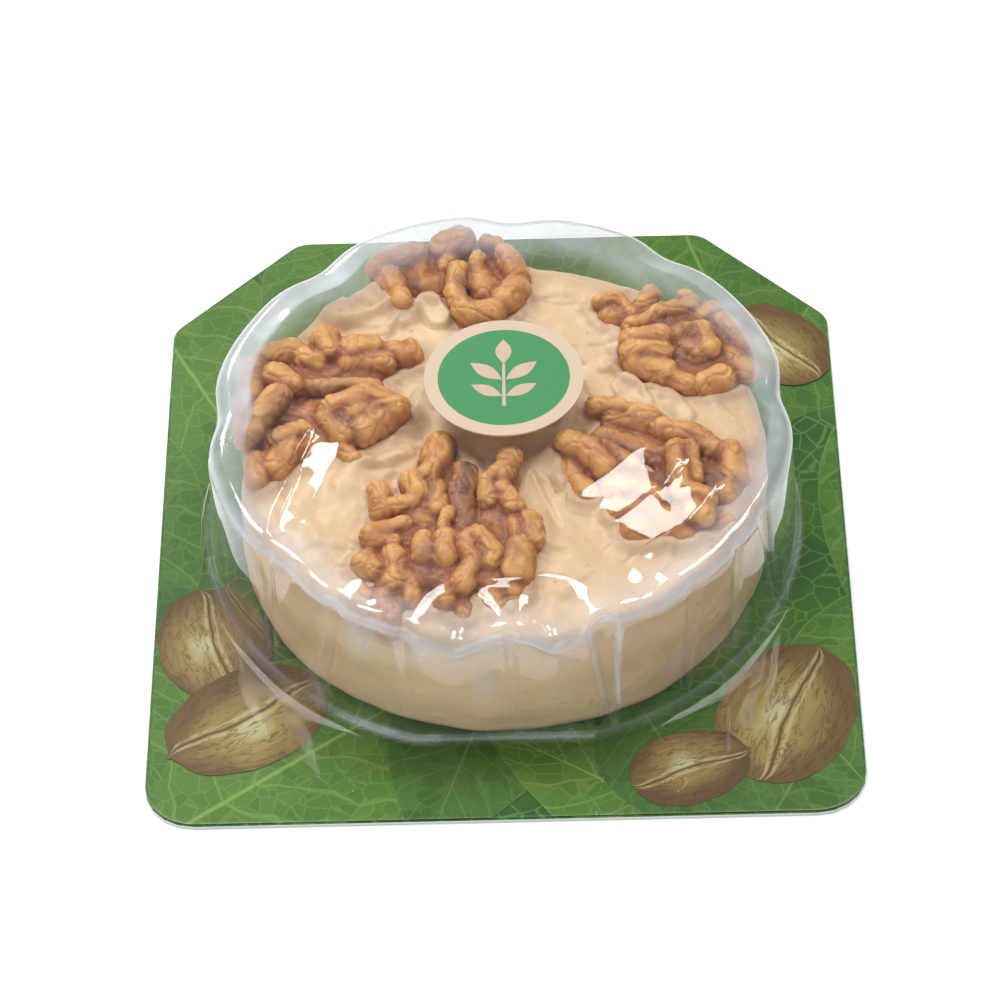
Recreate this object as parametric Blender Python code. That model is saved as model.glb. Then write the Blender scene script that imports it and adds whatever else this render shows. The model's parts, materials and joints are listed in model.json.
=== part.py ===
"""Walnut cheese in its clear retail pack, modelled at real size.

A printed base card carries a round processed cheese with five walnut halves pressed
into its top. One thin clear film covers it: a flat flange sealed all round the card,
and a lobed dome over the food. A round label lies on top of the dome.

Units are metres, +Z is up, and the origin is the centre of the card's underside.
The front of the pack, where the film is creased, faces -Y.
"""

import math

import bmesh
import bpy
from mathutils import Matrix, Vector, noise

MM = 0.001

# Base card: a thin printed sheet, rounded in front and cut off at its rear corners
CARD_WIDTH = 112.0 * MM
CARD_DEPTH = 128.5 * MM
CARD_THICKNESS = 0.5 * MM
REAR_CUT = 21.0 * MM
REAR_CORNER_RADIUS = 4.5 * MM
FRONT_CORNER_RADIUS = 8.0 * MM
CORNER_STEPS = 5

# Gap that every touching pair of pieces keeps
CLEARANCE = 0.3 * MM

# Clear film: flange and dome are one sheet
FILM_THICKNESS = 0.4 * MM
FLANGE_TOP = CARD_THICKNESS + CLEARANCE + FILM_THICKNESS
DOME_CENTRE = Vector((0.2 * MM, -3.0 * MM))
DOME_TOP = 27.8 * MM
FOOT_RADIUS = 48.0 * MM
FOOT_FRONT = 45.9 * MM
FOOT_ROUND = 1.2 * MM
RIM_RADIUS = 46.8 * MM
RIM_ROUND = 2.6 * MM
RIM_SETBACK = 0.8 * MM
NOTCH_DEPTH = 1.6 * MM
NOTCH_DIP = 0.5 * MM
NOTCH_WIDTH = math.radians(7.0)
NOTCH_ANGLES = [math.radians(a) for a in (5.0, 52.0, 87.0, 131.0, 178.0, 222.0, 292.0)]
CRUSH_ANGLE = math.radians(262.0)
CRUSH_WIDTH = math.radians(24.0)
CRUSH_DROP = 2.2 * MM
CRUSH_PULL = 0.2 * MM
DOME_SEGMENTS = 72
WALL_RINGS = (0.0, 0.35, 0.75, 1.0)
SHOULDER_RINGS = (35.0, 65.0)
CROWN_RINGS = (1.0, 0.78, 0.5, 0.24)

# Cheese: a low round loaf, spread by hand on top
CHEESE_CENTRE = Vector((0.7 * MM, -4.9 * MM))
CHEESE_RADIUS = 41.9 * MM
CHEESE_SPREAD = 0.8 * MM
CHEESE_TOP = 21.4 * MM
CHEESE_BOTTOM = CARD_THICKNESS + CLEARANCE
CHEESE_EDGE_ROUND = 2.2 * MM
CHEESE_FOOT_ROUND = 1.2 * MM
CHEESE_SEGMENTS = 60
CHEESE_TOP_RINGS = (0.14, 0.28, 0.42, 0.55, 0.67, 0.78, 0.88, 0.96)
CHEESE_EDGE_RINGS = (20.0, 50.0, 80.0)
CHEESE_SIDE_RINGS = (6.0 * MM, 11.0 * MM, 16.0 * MM)
SIDE_UNEVENNESS = 0.4 * MM
SIDE_WAVES = 1.7
SIDE_WAVE_HEIGHT = 5.3 * MM
TOP_UNEVENNESS = 0.25 * MM
TOP_WAVE = 6.0 * MM

# Walnut halves
SIGHT_LEVEL = 24.5
SIGHT_SLOPE = 0.916
NUT_FLOOR = 17.6
NUT_BODY_TOP = 23.0
ROOT_DEPTH = 1.4
ROOT_TAPER = 0.85
NUT_VOXEL = 0.6 * MM
NUT_SOFTENING = 0.5
NUT_TRIANGLES = 1200
POCKET_GROWTH = 1.1 * MM
POCKET_VOXEL = 1.0 * MM
POCKET_TRIANGLES = 500

# Label
LABEL_CENTRE = Vector((1.0 * MM, 3.6 * MM))
LABEL_RADIUS = 12.85 * MM
LABEL_THICKNESS = 0.3 * MM
LABEL_SEGMENTS = 48

# Folds of each walnut half, in millimetres: start x, y, radius, end x, y, radius and
# height of the crest. The y values are read at SIGHT_LEVEL on a line of sight that comes
# down from the front, so a fold that lies lower than this level lies further back.
NUT_FOLDS = {
    "walnut_back": [
        (-17.8, 30.7, 2.3, -15.6, 25.7, 1.6, 25.4),
        (-19.8, 33.3, 1.9, -17.4, 35.1, 2.2, 25.4),
        (-16.8, 35.5, 2.2, -13.6, 36.9, 1.8, 25.8),
        (-13.0, 35.2, 1.7, -12.2, 28.7, 1.7, 24.2),
        (-10.2, 36.1, 1.5, -10.4, 29.7, 1.4, 23.6),
        (-8.6, 38.3, 2.4, -6.0, 39.3, 2.4, 26.6),
        (-7.8, 36.1, 1.8, -8.8, 32.7, 1.4, 25.0),
        (-6.4, 32.2, 1.7, -7.0, 27.2, 1.7, 26.2),
        (-7.0, 27.2, 1.7, -5.4, 22.9, 1.9, 26.4),
        (-4.2, 21.7, 2.2, -0.6, 21.9, 2.2, 26.0),
        (1.0, 24.3, 2.4, 2.8, 27.3, 2.4, 26.0),
        (3.2, 29.9, 2.3, 2.2, 32.9, 2.3, 25.6),
        (-3.4, 30.2, 2.6, -1.6, 26.7, 2.8, 25.4),
        (-3.0, 35.3, 1.2, -3.4, 34.1, 1.2, 26.0),
        (1.0, 35.7, 1.6, 2.0, 34.1, 1.8, 25.4),
        (-1.4, 38.6, 1.4, -0.2, 38.0, 1.3, 25.0),
    ],
    "walnut_left": [
        (-28.2, 16.4, 2.4, -27.4, 14.4, 2.0, 26.4),
        (-37.0, 13.2, 2.3, -33.6, 14.2, 2.3, 25.6),
        (-31.6, 12.8, 2.0, -29.6, 11.6, 1.9, 25.6),
        (-24.4, 13.6, 2.5, -20.6, 14.0, 2.3, 26.0),
        (-24.6, 10.8, 2.0, -18.8, 11.2, 2.0, 25.2),
        (-17.8, 13.4, 1.8, -15.4, 13.2, 1.9, 25.2),
        (-14.4, 15.2, 1.4, -13.6, 13.4, 1.4, 24.8),
        (-36.0, 8.8, 2.2, -33.2, 6.6, 2.0, 26.0),
        (-39.4, 10.0, 2.2, -40.4, 4.0, 2.2, 25.0),
        (-40.6, 2.0, 2.2, -40.2, -5.0, 2.1, 24.6),
        (-35.4, 3.6, 2.2, -38.2, -1.4, 2.3, 26.2),
        (-38.2, -1.4, 2.3, -39.0, -4.0, 2.0, 25.8),
        (-32.0, 6.0, 1.3, -24.5, 6.0, 1.5, 24.4),
        (-24.5, 6.2, 1.5, -20.0, 6.2, 1.4, 24.4),
        (-26.4, 1.0, 2.3, -21.2, 2.4, 2.7, 26.6),
        (-20.2, 2.6, 2.5, -16.8, 0.6, 2.5, 26.4),
        (-18.2, -1.2, 2.6, -21.6, -4.2, 2.4, 25.8),
        (-27.4, -1.6, 2.2, -25.0, -5.0, 2.4, 25.6),
        (-23.0, -1.6, 3.4, -21.0, -1.0, 3.2, 26.0),
        (-26.0, -7.4, 1.6, -23.6, -9.6, 1.4, 24.2),
        (-31.2, -3.6, 1.8, -35.0, -6.0, 2.2, 25.0),
        (-33.4, -7.4, 2.2, -36.0, -11.6, 2.2, 24.8),
        (-38.4, -10.2, 2.0, -38.6, -14.0, 1.9, 24.4),
    ],
    "walnut_front": [
        (-8.6, -5.2, 1.2, -9.6, -8.0, 1.9, 25.2),
        (-9.4, -7.2, 2.0, -10.4, -11.4, 2.3, 25.6),
        (-9.8, -10.0, 1.6, -11.6, -14.0, 1.7, 26.0),
        (-13.6, -15.2, 2.2, -13.0, -17.8, 2.0, 25.8),
        (-19.0, -17.6, 1.8, -18.6, -21.6, 1.9, 24.6),
        (-17.6, -20.6, 1.4, -13.6, -19.6, 1.5, 25.2),
        (-20.2, -26.6, 1.9, -15.2, -24.6, 1.8, 25.0),
        (-19.4, -28.2, 1.6, -16.4, -28.2, 1.6, 24.6),
        (-10.6, -17.0, 2.0, -9.6, -21.5, 1.9, 24.8),
        (1.6, -10.4, 1.9, 0.2, -14.6, 2.0, 26.0),
        (-1.6, -15.8, 1.4, -1.6, -19.6, 1.5, 25.6),
        (0.6, -17.8, 1.6, 2.2, -21.0, 1.8, 25.4),
        (4.6, -24.2, 1.9, 5.4, -28.6, 1.9, 25.0),
        (2.0, -24.6, 1.5, 3.0, -28.0, 1.6, 24.6),
        (3.2, -30.2, 2.3, 2.6, -34.8, 2.5, 25.2),
        (1.8, -36.2, 1.8, 2.2, -39.2, 1.6, 23.6),
        (-7.8, -21.8, 1.0, -8.8, -24.6, 1.0, 25.4),
        (-12.2, -28.2, 1.9, -12.0, -31.6, 2.0, 25.4),
        (-8.6, -28.0, 2.0, -8.8, -32.0, 2.1, 25.8),
        (-5.6, -28.2, 1.7, -4.4, -31.2, 1.7, 25.8),
        (-3.4, -26.4, 1.6, -1.4, -30.6, 1.9, 26.0),
        (-1.2, -31.4, 1.7, -1.4, -33.0, 1.4, 25.4),
        (-4.0, -32.8, 1.8, -6.0, -36.8, 2.2, 25.8),
        (-7.6, -37.8, 1.9, -8.4, -40.6, 1.9, 24.2),
        (-6.0, -41.5, 2.0, -5.6, -43.6, 1.9, 22.8),
        (-1.8, -37.0, 2.2, -1.2, -41.5, 2.2, 23.2),
        (-21.0, -32.4, 2.2, -19.6, -34.0, 2.0, 24.6),
        (-16.6, -31.8, 2.2, -16.2, -36.4, 2.2, 25.0),
        (-14.0, -36.8, 2.3, -13.6, -40.0, 2.1, 24.2),
        (-17.8, -38.0, 2.0, -17.6, -41.0, 1.9, 23.6),
        (-21.4, -39.0, 1.6, -20.6, -39.8, 1.5, 22.4),
        (-17.4, -43.4, 2.4, -17.6, -45.6, 2.4, 21.0),
    ],
    "walnut_right": [
        (15.8, 0.4, 1.7, 19.6, -0.2, 1.6, 25.2),
        (21.4, -1.4, 1.6, 24.0, -2.2, 1.7, 25.0),
        (18.4, -3.0, 1.8, 24.0, -4.6, 2.2, 24.4),
        (26.2, -5.2, 2.0, 30.4, -6.6, 2.0, 25.4),
        (31.8, -7.4, 2.0, 34.0, -9.6, 1.9, 25.4),
        (36.4, -10.6, 2.0, 37.0, -16.0, 2.4, 24.6),
        (36.4, -18.0, 2.0, 35.2, -20.0, 1.8, 24.0),
        (10.8, -7.4, 1.9, 14.6, -10.0, 2.3, 26.0),
        (14.6, -10.0, 2.3, 17.0, -13.2, 2.1, 26.2),
        (17.6, -9.0, 1.5, 20.8, -13.0, 1.6, 25.4),
        (11.4, -13.0, 1.9, 13.6, -18.6, 2.2, 23.8),
        (28.0, -9.4, 1.6, 28.6, -17.6, 1.9, 26.4),
        (30.2, -9.6, 1.4, 31.0, -16.0, 1.5, 25.8),
        (29.6, -19.0, 2.0, 32.4, -20.2, 1.7, 26.0),
        (32.8, -21.2, 1.5, 32.0, -24.0, 1.7, 25.6),
        (30.6, -22.4, 1.8, 30.2, -23.2, 1.6, 25.4),
        (18.6, -17.6, 2.6, 24.0, -20.6, 2.8, 24.8),
        (19.0, -22.6, 2.2, 26.0, -25.0, 2.6, 24.2),
        (22.0, -28.0, 2.0, 29.0, -28.0, 2.2, 23.0),
        (33.6, -27.4, 1.6, 36.2, -25.6, 1.4, 22.6),
    ],
    "walnut_right_back": [
        (17.0, 24.2, 1.5, 19.6, 24.4, 1.7, 24.8),
        (20.6, 23.0, 1.4, 22.0, 20.6, 1.5, 24.6),
        (25.4, 25.6, 1.6, 23.6, 22.8, 1.5, 25.2),
        (21.6, 18.0, 1.5, 26.0, 19.6, 1.6, 24.8),
        (26.0, 20.4, 1.6, 31.6, 22.0, 1.8, 25.2),
        (30.8, 24.4, 1.4, 31.6, 23.4, 1.4, 25.0),
        (21.8, 15.0, 2.0, 26.2, 15.2, 2.1, 26.4),
        (22.0, 12.2, 2.2, 26.2, 12.0, 2.0, 26.2),
        (22.6, 9.6, 2.0, 27.0, 7.2, 2.2, 25.4),
        (27.6, 6.4, 1.9, 30.6, 4.4, 1.8, 24.6),
        (29.6, 16.2, 1.6, 30.8, 16.8, 1.6, 26.2),
        (33.0, 17.0, 1.8, 34.4, 12.6, 1.7, 26.6),
        (30.4, 13.6, 1.9, 32.6, 10.6, 1.7, 25.6),
        (29.0, 10.4, 1.6, 31.6, 8.6, 1.6, 24.4),
        (33.2, 4.6, 1.9, 35.8, 5.6, 2.3, 25.2),
        (36.8, 18.0, 2.0, 39.6, 13.6, 2.1, 24.6),
        (37.6, 10.4, 2.2, 39.8, 7.4, 2.0, 24.4),
        (35.0, 21.2, 1.8, 33.4, 19.6, 1.8, 24.8),
    ],
}

# Low body that joins the folds of each half: start x, y, radius, end x, y, radius
NUT_BODIES = {
    "walnut_back": [
        (-14.6, 31.4, 3.2, -7.0, 31.4, 3.6),
        (-3.0, 31.8, 3.4, -1.2, 26.6, 3.8),
        (-2.6, 34.4, 2.6, 0.6, 31.0, 3.0),
    ],
    "walnut_left": [
        (-36.0, 9.6, 3.4, -22.0, 10.8, 3.4),
        (-35.0, 2.0, 3.8, -24.0, 0.0, 4.0),
        (-34.6, -5.6, 3.4, -30.0, -3.6, 3.6),
    ],
    "walnut_front": [
        (-6.0, -16.0, 2.0, -6.0, -23.0, 2.6),
        (1.0, -13.6, 1.8, -1.0, -22.0, 2.4),
        (-10.6, -12.0, 2.8, -12.0, -22.0, 3.4),
        (-14.0, -26.0, 3.6, -1.0, -26.0, 3.8),
        (-15.0, -33.6, 3.6, -2.0, -33.6, 3.6),
    ],
    "walnut_right": [
        (17.0, -5.0, 2.2, 26.0, -9.0, 2.6),
        (15.2, -10.6, 3.0, 24.0, -16.6, 3.6),
        (27.0, -10.0, 3.4, 33.4, -14.6, 3.6),
        (26.0, -15.0, 2.6, 31.0, -19.0, 2.6),
        (22.0, -23.6, 3.2, 30.0, -22.0, 3.4),
    ],
    "walnut_right_back": [
        (19.0, 22.4, 1.7, 24.0, 21.6, 2.2),
        (25.0, 13.0, 3.6, 34.0, 13.0, 3.8),
        (26.0, 19.4, 2.6, 33.0, 19.2, 2.8),
        (28.0, 8.4, 3.0, 36.4, 9.0, 3.2),
        (35.6, 12.0, 2.8, 35.4, 16.0, 2.8),
    ],
}

# Strokes left by the spreading knife, in millimetres: start x, y, end x, y, height
# above the cheese's level, and width. A negative height is a furrow.
CHEESE_STROKES = [
    (-25.0, 27.0, -12.0, 22.5, 1.1, 3.4),
    (-22.5, 19.0, -15.0, 26.5, 1.0, 2.4),
    (-12.0, 26.0, -10.0, 22.0, 1.8, 1.9),
    (-18.0, 17.5, -17.0, 23.0, -0.9, 0.9),
    (6.0, 24.0, 17.0, 18.0, 0.9, 4.2),
    (19.5, 9.0, 22.5, 0.5, 1.2, 2.6),
    (24.0, 2.0, 31.0, -2.0, 0.9, 3.0),
    (36.5, 1.0, 38.0, -8.0, 0.7, 3.4),
    (-29.0, -15.0, -17.0, -8.0, 1.2, 3.4),
    (-27.0, -24.0, -23.0, -14.0, 0.9, 3.2),
    (-13.0, -6.0, -17.0, -12.5, -0.7, 1.3),
    (7.5, -10.0, 10.0, -34.0, 1.0, 3.4),
    (-7.5, 3.0, -12.5, 8.0, 0.7, 2.4),
    (13.0, -28.0, 17.0, -38.0, 0.8, 4.0),
]


def remove_everything():
    for item in list(bpy.data.objects):
        bpy.data.objects.remove(item, do_unlink=True)


def make_material(name, colour, roughness, alpha=1.0):
    material = bpy.data.materials.new(name)
    material.use_nodes = True
    shader = material.node_tree.nodes["Principled BSDF"]
    shader.inputs["Base Color"].default_value = (*colour, 1.0)
    shader.inputs["Roughness"].default_value = roughness
    shader.inputs["Metallic"].default_value = 0.0
    shader.inputs["Alpha"].default_value = alpha
    return material


def add_object(name, bm, material, parent=None):
    """Turn a finished bmesh into the object of one sub-part."""
    mesh = bpy.data.meshes.new(name)
    bm.to_mesh(mesh)
    bm.free()
    mesh.materials.append(material)
    item = bpy.data.objects.new(name, mesh)
    bpy.context.scene.collection.objects.link(item)
    item.parent = parent
    return item


def apply_modifiers(item):
    """Replace the object's mesh with the mesh that its modifiers make."""
    depsgraph = bpy.context.evaluated_depsgraph_get()
    result = bpy.data.meshes.new_from_object(item.evaluated_get(depsgraph))
    item.modifiers.clear()
    item.data = result


def bell(x, width):
    return math.exp(-((x / width) ** 2))


def angle_between(a, b):
    return abs((a - b + math.pi) % (2 * math.pi) - math.pi)


def rounded_outline(corners):
    """Points round a convex outline; each corner is (point, fillet radius)."""
    points = []
    count = len(corners)
    for i, (corner, radius) in enumerate(corners):
        before = (corners[i - 1][0] - corner).normalized()
        after = (corners[(i + 1) % count][0] - corner).normalized()
        half = before.angle(after) / 2
        middle = corner + (before + after).normalized() * radius / math.sin(half)
        first = corner + before * radius / math.tan(half) - middle
        last = corner + after * radius / math.tan(half) - middle
        turn = first.angle_signed(last)
        for step in range(CORNER_STEPS + 1):
            share = step / CORNER_STEPS
            points.append(middle + Matrix.Rotation(-turn * share, 2) @ first)
    return points


def card_outline():
    x, y = CARD_WIDTH / 2, CARD_DEPTH / 2
    return rounded_outline([
        (Vector((x, -y)), FRONT_CORNER_RADIUS),
        (Vector((x, y - REAR_CUT)), REAR_CORNER_RADIUS),
        (Vector((x - REAR_CUT, y)), REAR_CORNER_RADIUS),
        (Vector((REAR_CUT - x, y)), REAR_CORNER_RADIUS),
        (Vector((-x, y - REAR_CUT)), REAR_CORNER_RADIUS),
        (Vector((-x, -y)), FRONT_CORNER_RADIUS),
    ])


def make_card(material, parent):
    bm = bmesh.new()
    face = bm.faces.new([bm.verts.new((p.x, p.y, 0.0)) for p in card_outline()])
    result = bmesh.ops.extrude_face_region(bm, geom=[face])
    raised = [v for v in result["geom"] if isinstance(v, bmesh.types.BMVert)]
    bmesh.ops.translate(bm, verts=raised, vec=(0, 0, CARD_THICKNESS))
    bmesh.ops.recalc_face_normals(bm, faces=bm.faces)
    return add_object("base_card", bm, material, parent)


def notch_share(angle):
    """1 in the middle of a notch between two lobes of the rim, 0 away from it."""
    return sum(bell(angle_between(angle, a), NOTCH_WIDTH) for a in NOTCH_ANGLES)


def crush_share(angle):
    """1 where the front of the dome is pushed in, 0 round the rest."""
    return bell(angle_between(angle, CRUSH_ANGLE), CRUSH_WIDTH)


def foot_radius(angle):
    """The foot is round, with a straight stretch in front."""
    front = -math.sin(angle)
    if front <= 0:
        return FOOT_RADIUS
    return min(FOOT_RADIUS, FOOT_FRONT / front)


def rim_radius(angle):
    pulled = CRUSH_PULL * crush_share(angle)
    notched = NOTCH_DEPTH * notch_share(angle)
    rim = min(RIM_RADIUS, foot_radius(angle) - RIM_SETBACK)
    return rim - pulled - notched


def crown_height(angle, share):
    """Height of the dome's top; share runs from 0 in the middle to 1 at the shoulder."""
    inward = share ** 2 * (3 - 2 * share)
    drop = CRUSH_DROP * crush_share(angle) + NOTCH_DIP * notch_share(angle)
    return DOME_TOP - drop * inward


def room_above(x, y):
    """Height up to which a piece may rise below the dome's top."""
    out = Vector((x, y)) - DOME_CENTRE
    angle = math.atan2(out.y, out.x)
    share = min(1.0, out.length / (rim_radius(angle) - RIM_ROUND))
    return crown_height(angle, share) - FILM_THICKNESS - CLEARANCE


def dome_rings():
    """Rings of the dome from foot to crown, as functions of the angle."""

    def wall(share):
        def ring(angle):
            notch = notch_share(angle) * math.sin(share * math.pi / 2) ** 2
            foot = foot_radius(angle)
            rim = rim_radius(angle) + NOTCH_DEPTH * notch_share(angle)
            radius = foot + (rim - foot) * share - NOTCH_DEPTH * notch
            low = FLANGE_TOP + FOOT_ROUND
            high = DOME_TOP - CRUSH_DROP * crush_share(angle) - RIM_ROUND
            return radius, low + share * (high - low)
        return ring

    def shoulder(turn):
        def ring(angle):
            radius = rim_radius(angle) - RIM_ROUND * (1 - math.cos(turn))
            return radius, crown_height(angle, 1.0) - RIM_ROUND * (1 - math.sin(turn))
        return ring

    def crown(share):
        def ring(angle):
            return (rim_radius(angle) - RIM_ROUND) * share, crown_height(angle, share)
        return ring

    rings = [lambda angle: (foot_radius(angle) + FOOT_ROUND, FLANGE_TOP)]
    rings += [wall(share) for share in WALL_RINGS]
    rings += [shoulder(math.radians(turn)) for turn in SHOULDER_RINGS]
    rings += [crown(share) for share in CROWN_RINGS]
    return rings


def make_film(material, parent):
    bm = bmesh.new()
    loops = []
    for ring in dome_rings():
        loop = []
        for i in range(DOME_SEGMENTS):
            angle = 2 * math.pi * i / DOME_SEGMENTS
            radius, height = ring(angle)
            x = DOME_CENTRE.x + radius * math.cos(angle)
            y = DOME_CENTRE.y + radius * math.sin(angle)
            loop.append(bm.verts.new((x, y, height)))
        loops.append(loop)
    for lower, upper in zip(loops, loops[1:]):
        for i in range(DOME_SEGMENTS):
            j = (i + 1) % DOME_SEGMENTS
            bm.faces.new((lower[i], lower[j], upper[j], upper[i]))
    crown = bm.verts.new((DOME_CENTRE.x, DOME_CENTRE.y, DOME_TOP))
    for i in range(DOME_SEGMENTS):
        bm.faces.new((loops[-1][i], loops[-1][(i + 1) % DOME_SEGMENTS], crown))

    outline = [bm.verts.new((p.x, p.y, FLANGE_TOP)) for p in card_outline()]
    edges = [bm.edges.new((outline[i - 1], outline[i])) for i in range(len(outline))]
    foot = loops[0]
    edges += [bm.edges.get((foot[i - 1], foot[i])) for i in range(DOME_SEGMENTS)]
    bmesh.ops.triangle_fill(bm, use_beauty=True, use_dissolve=False, edges=edges)
    bmesh.ops.recalc_face_normals(bm, faces=bm.faces)
    bm.normal_update()
    if crown.normal.z < 0:
        bmesh.ops.reverse_faces(bm, faces=bm.faces)

    film = add_object("clear_film", bm, material, parent)
    film.data.shade_smooth()
    sheet = film.modifiers.new("Sheet thickness", "SOLIDIFY")
    sheet.thickness = FILM_THICKNESS
    sheet.offset = -1.0
    sheet.use_even_offset = True
    return film


def stroke_height(x, y):
    """Height of the knife strokes at a point of the cheese's top, in metres."""
    point = Vector((x, y))
    total = 0.0
    for x0, y0, x1, y1, height, width in CHEESE_STROKES:
        start = Vector((x0, y0)) * MM
        along = Vector((x1, y1)) * MM - start
        share = max(0.0, min(1.0, (point - start).dot(along) / along.length_squared))
        distance = (point - start - along * share).length
        total += height * MM * bell(distance, width * MM)
    return total


def cheese_point(angle, radius, height, swell):
    """A point of the cheese; its side spreads towards the card and is slightly uneven."""
    around = Vector((math.cos(angle), math.sin(angle), 0.0)) * SIDE_WAVES
    around.z = height / SIDE_WAVE_HEIGHT
    spread = CHEESE_SPREAD * (CHEESE_TOP - height) / (CHEESE_TOP - CHEESE_BOTTOM)
    reach = radius + spread + swell * SIDE_UNEVENNESS * noise.noise(around)
    x = CHEESE_CENTRE.x + reach * math.cos(angle)
    y = CHEESE_CENTRE.y + reach * math.sin(angle)
    return x, y, height


def make_cheese(material, parent):
    bm = bmesh.new()
    edge = CHEESE_RADIUS - CHEESE_EDGE_ROUND
    top_rings = [(edge * share, 0.0) for share in CHEESE_TOP_RINGS]
    round_rings = [
        (edge + CHEESE_EDGE_ROUND * math.sin(turn), CHEESE_EDGE_ROUND * (1 - math.cos(turn)))
        for turn in map(math.radians, CHEESE_EDGE_RINGS)
    ]

    loops = []
    for radius, drop in top_rings + round_rings:
        loop = []
        for i in range(CHEESE_SEGMENTS):
            angle = 2 * math.pi * i / CHEESE_SEGMENTS
            x, y, z = cheese_point(angle, radius, CHEESE_TOP - drop, drop / CHEESE_EDGE_ROUND)
            relief = stroke_height(x, y) * (1 - drop / CHEESE_EDGE_ROUND)
            grain = TOP_UNEVENNESS * noise.noise(Vector((x, y, 0.0)) / TOP_WAVE)
            loop.append(bm.verts.new((x, y, z + relief + grain)))
        loops.append(loop)
    for drop in CHEESE_SIDE_RINGS:
        loops.append([
            bm.verts.new(cheese_point(
                2 * math.pi * i / CHEESE_SEGMENTS, CHEESE_RADIUS, CHEESE_TOP - drop, 1.0))
            for i in range(CHEESE_SEGMENTS)
        ])
    foot = CHEESE_FOOT_ROUND
    for inset, height in ((0.0, CHEESE_BOTTOM + foot), (foot, CHEESE_BOTTOM)):
        loops.append([
            bm.verts.new(cheese_point(
                2 * math.pi * i / CHEESE_SEGMENTS, CHEESE_RADIUS - inset, height, 0.0))
            for i in range(CHEESE_SEGMENTS)
        ])
    for upper, lower in zip(loops, loops[1:]):
        for i in range(CHEESE_SEGMENTS):
            j = (i + 1) % CHEESE_SEGMENTS
            bm.faces.new((upper[i], lower[i], lower[j], upper[j]))
    middle = (CHEESE_CENTRE.x, CHEESE_CENTRE.y, CHEESE_TOP + stroke_height(*CHEESE_CENTRE))
    crown = bm.verts.new(middle)
    for i in range(CHEESE_SEGMENTS):
        bm.faces.new((loops[0][i], loops[0][(i + 1) % CHEESE_SEGMENTS], crown))
    bm.faces.new(reversed(loops[-1]))
    bmesh.ops.recalc_face_normals(bm, faces=bm.faces)
    cheese = add_object("cheese", bm, material, parent)
    cheese.data.shade_smooth()
    return cheese


def fold_end(x, y, radius, crest):
    """Centre of a fold's end, slid back along the line of sight to its own height."""
    real_y = y + (SIGHT_LEVEL - crest + radius) * SIGHT_SLOPE
    top = min(crest, room_above(x * MM, real_y * MM) / MM)
    return Vector((x, real_y, top - radius))


def add_lobe(bm, start, start_radius, end, end_radius):
    """Add one fold of the kernel: a ball drawn out from start to end."""
    ball = bmesh.ops.create_icosphere(bm, subdivisions=2, radius=1.0)["verts"]
    along = end - start
    for vert in ball:
        if vert.co.dot(along) > 0:
            vert.co = (end + vert.co * end_radius) * MM
        else:
            vert.co = (start + vert.co * start_radius) * MM


def root_end(centre, radius):
    """The same end of a fold, down at its root."""
    height = max(NUT_FLOOR + radius, centre.z - ROOT_DEPTH * radius)
    return Vector((centre.x, centre.y, height))


def make_nut(name, material, parent):
    """A walnut half: overlapping folds on a thick body, melted into one skin."""
    bm = bmesh.new()
    for x0, y0, radius0, x1, y1, radius1, crest in NUT_FOLDS[name]:
        start = fold_end(x0, y0, radius0, crest)
        end = fold_end(x1, y1, radius1, crest)
        add_lobe(bm, start, radius0, end, radius1)
        narrow0 = radius0 * ROOT_TAPER
        narrow1 = radius1 * ROOT_TAPER
        add_lobe(bm, root_end(start, narrow0), narrow0, root_end(end, narrow1), narrow1)
    for x0, y0, radius0, x1, y1, radius1 in NUT_BODIES[name]:
        start = Vector((x0, y0, NUT_BODY_TOP - radius0))
        end = Vector((x1, y1, NUT_BODY_TOP - radius1))
        add_lobe(bm, start, radius0, end, radius1)
    nut = add_object(name, bm, material, parent)
    melt = nut.modifiers.new("One skin", "REMESH")
    melt.mode = "VOXEL"
    melt.voxel_size = NUT_VOXEL
    soften = nut.modifiers.new("Soften folds", "SMOOTH")
    soften.factor = NUT_SOFTENING
    apply_modifiers(nut)
    thin_out(nut, NUT_TRIANGLES)
    nut.data.shade_smooth()
    return nut


def thin_out(item, triangles):
    """Bring a mesh down to about this many triangles."""
    item.data.calc_loop_triangles()
    thin = item.modifiers.new("Fewer faces", "DECIMATE")
    thin.ratio = triangles / len(item.data.loop_triangles)
    thin.use_collapse_triangulate = True
    apply_modifiers(item)


def make_pocket(nut):
    """A swollen copy of the nut that cuts its place into the cheese."""
    pocket = nut.copy()
    pocket.data = nut.data.copy()
    pocket.name = nut.name + "_pocket"
    bpy.context.scene.collection.objects.link(pocket)
    swell = pocket.modifiers.new("Swell", "DISPLACE")
    swell.mid_level = 0.0
    swell.strength = POCKET_GROWTH
    melt = pocket.modifiers.new("One skin", "REMESH")
    melt.mode = "VOXEL"
    melt.voxel_size = POCKET_VOXEL
    apply_modifiers(pocket)
    thin_out(pocket, POCKET_TRIANGLES)
    pocket.hide_render = True
    pocket.display_type = "WIRE"
    return pocket


def cut_pockets(cheese, pockets):
    for pocket in pockets:
        cut = cheese.modifiers.new("Pocket", "BOOLEAN")
        cut.operation = "DIFFERENCE"
        cut.solver = "EXACT"
        cut.object = pocket
    apply_modifiers(cheese)
    for pocket in pockets:
        bpy.data.objects.remove(pocket, do_unlink=True)


def make_label(material, parent):
    bm = bmesh.new()
    height = DOME_TOP + CLEARANCE + LABEL_THICKNESS / 2
    place = Matrix.Translation((LABEL_CENTRE.x, LABEL_CENTRE.y, height))
    bmesh.ops.create_cone(
        bm, cap_ends=True, segments=LABEL_SEGMENTS, radius1=LABEL_RADIUS,
        radius2=LABEL_RADIUS, depth=LABEL_THICKNESS, matrix=place)
    return add_object("label", bm, material, parent)


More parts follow.
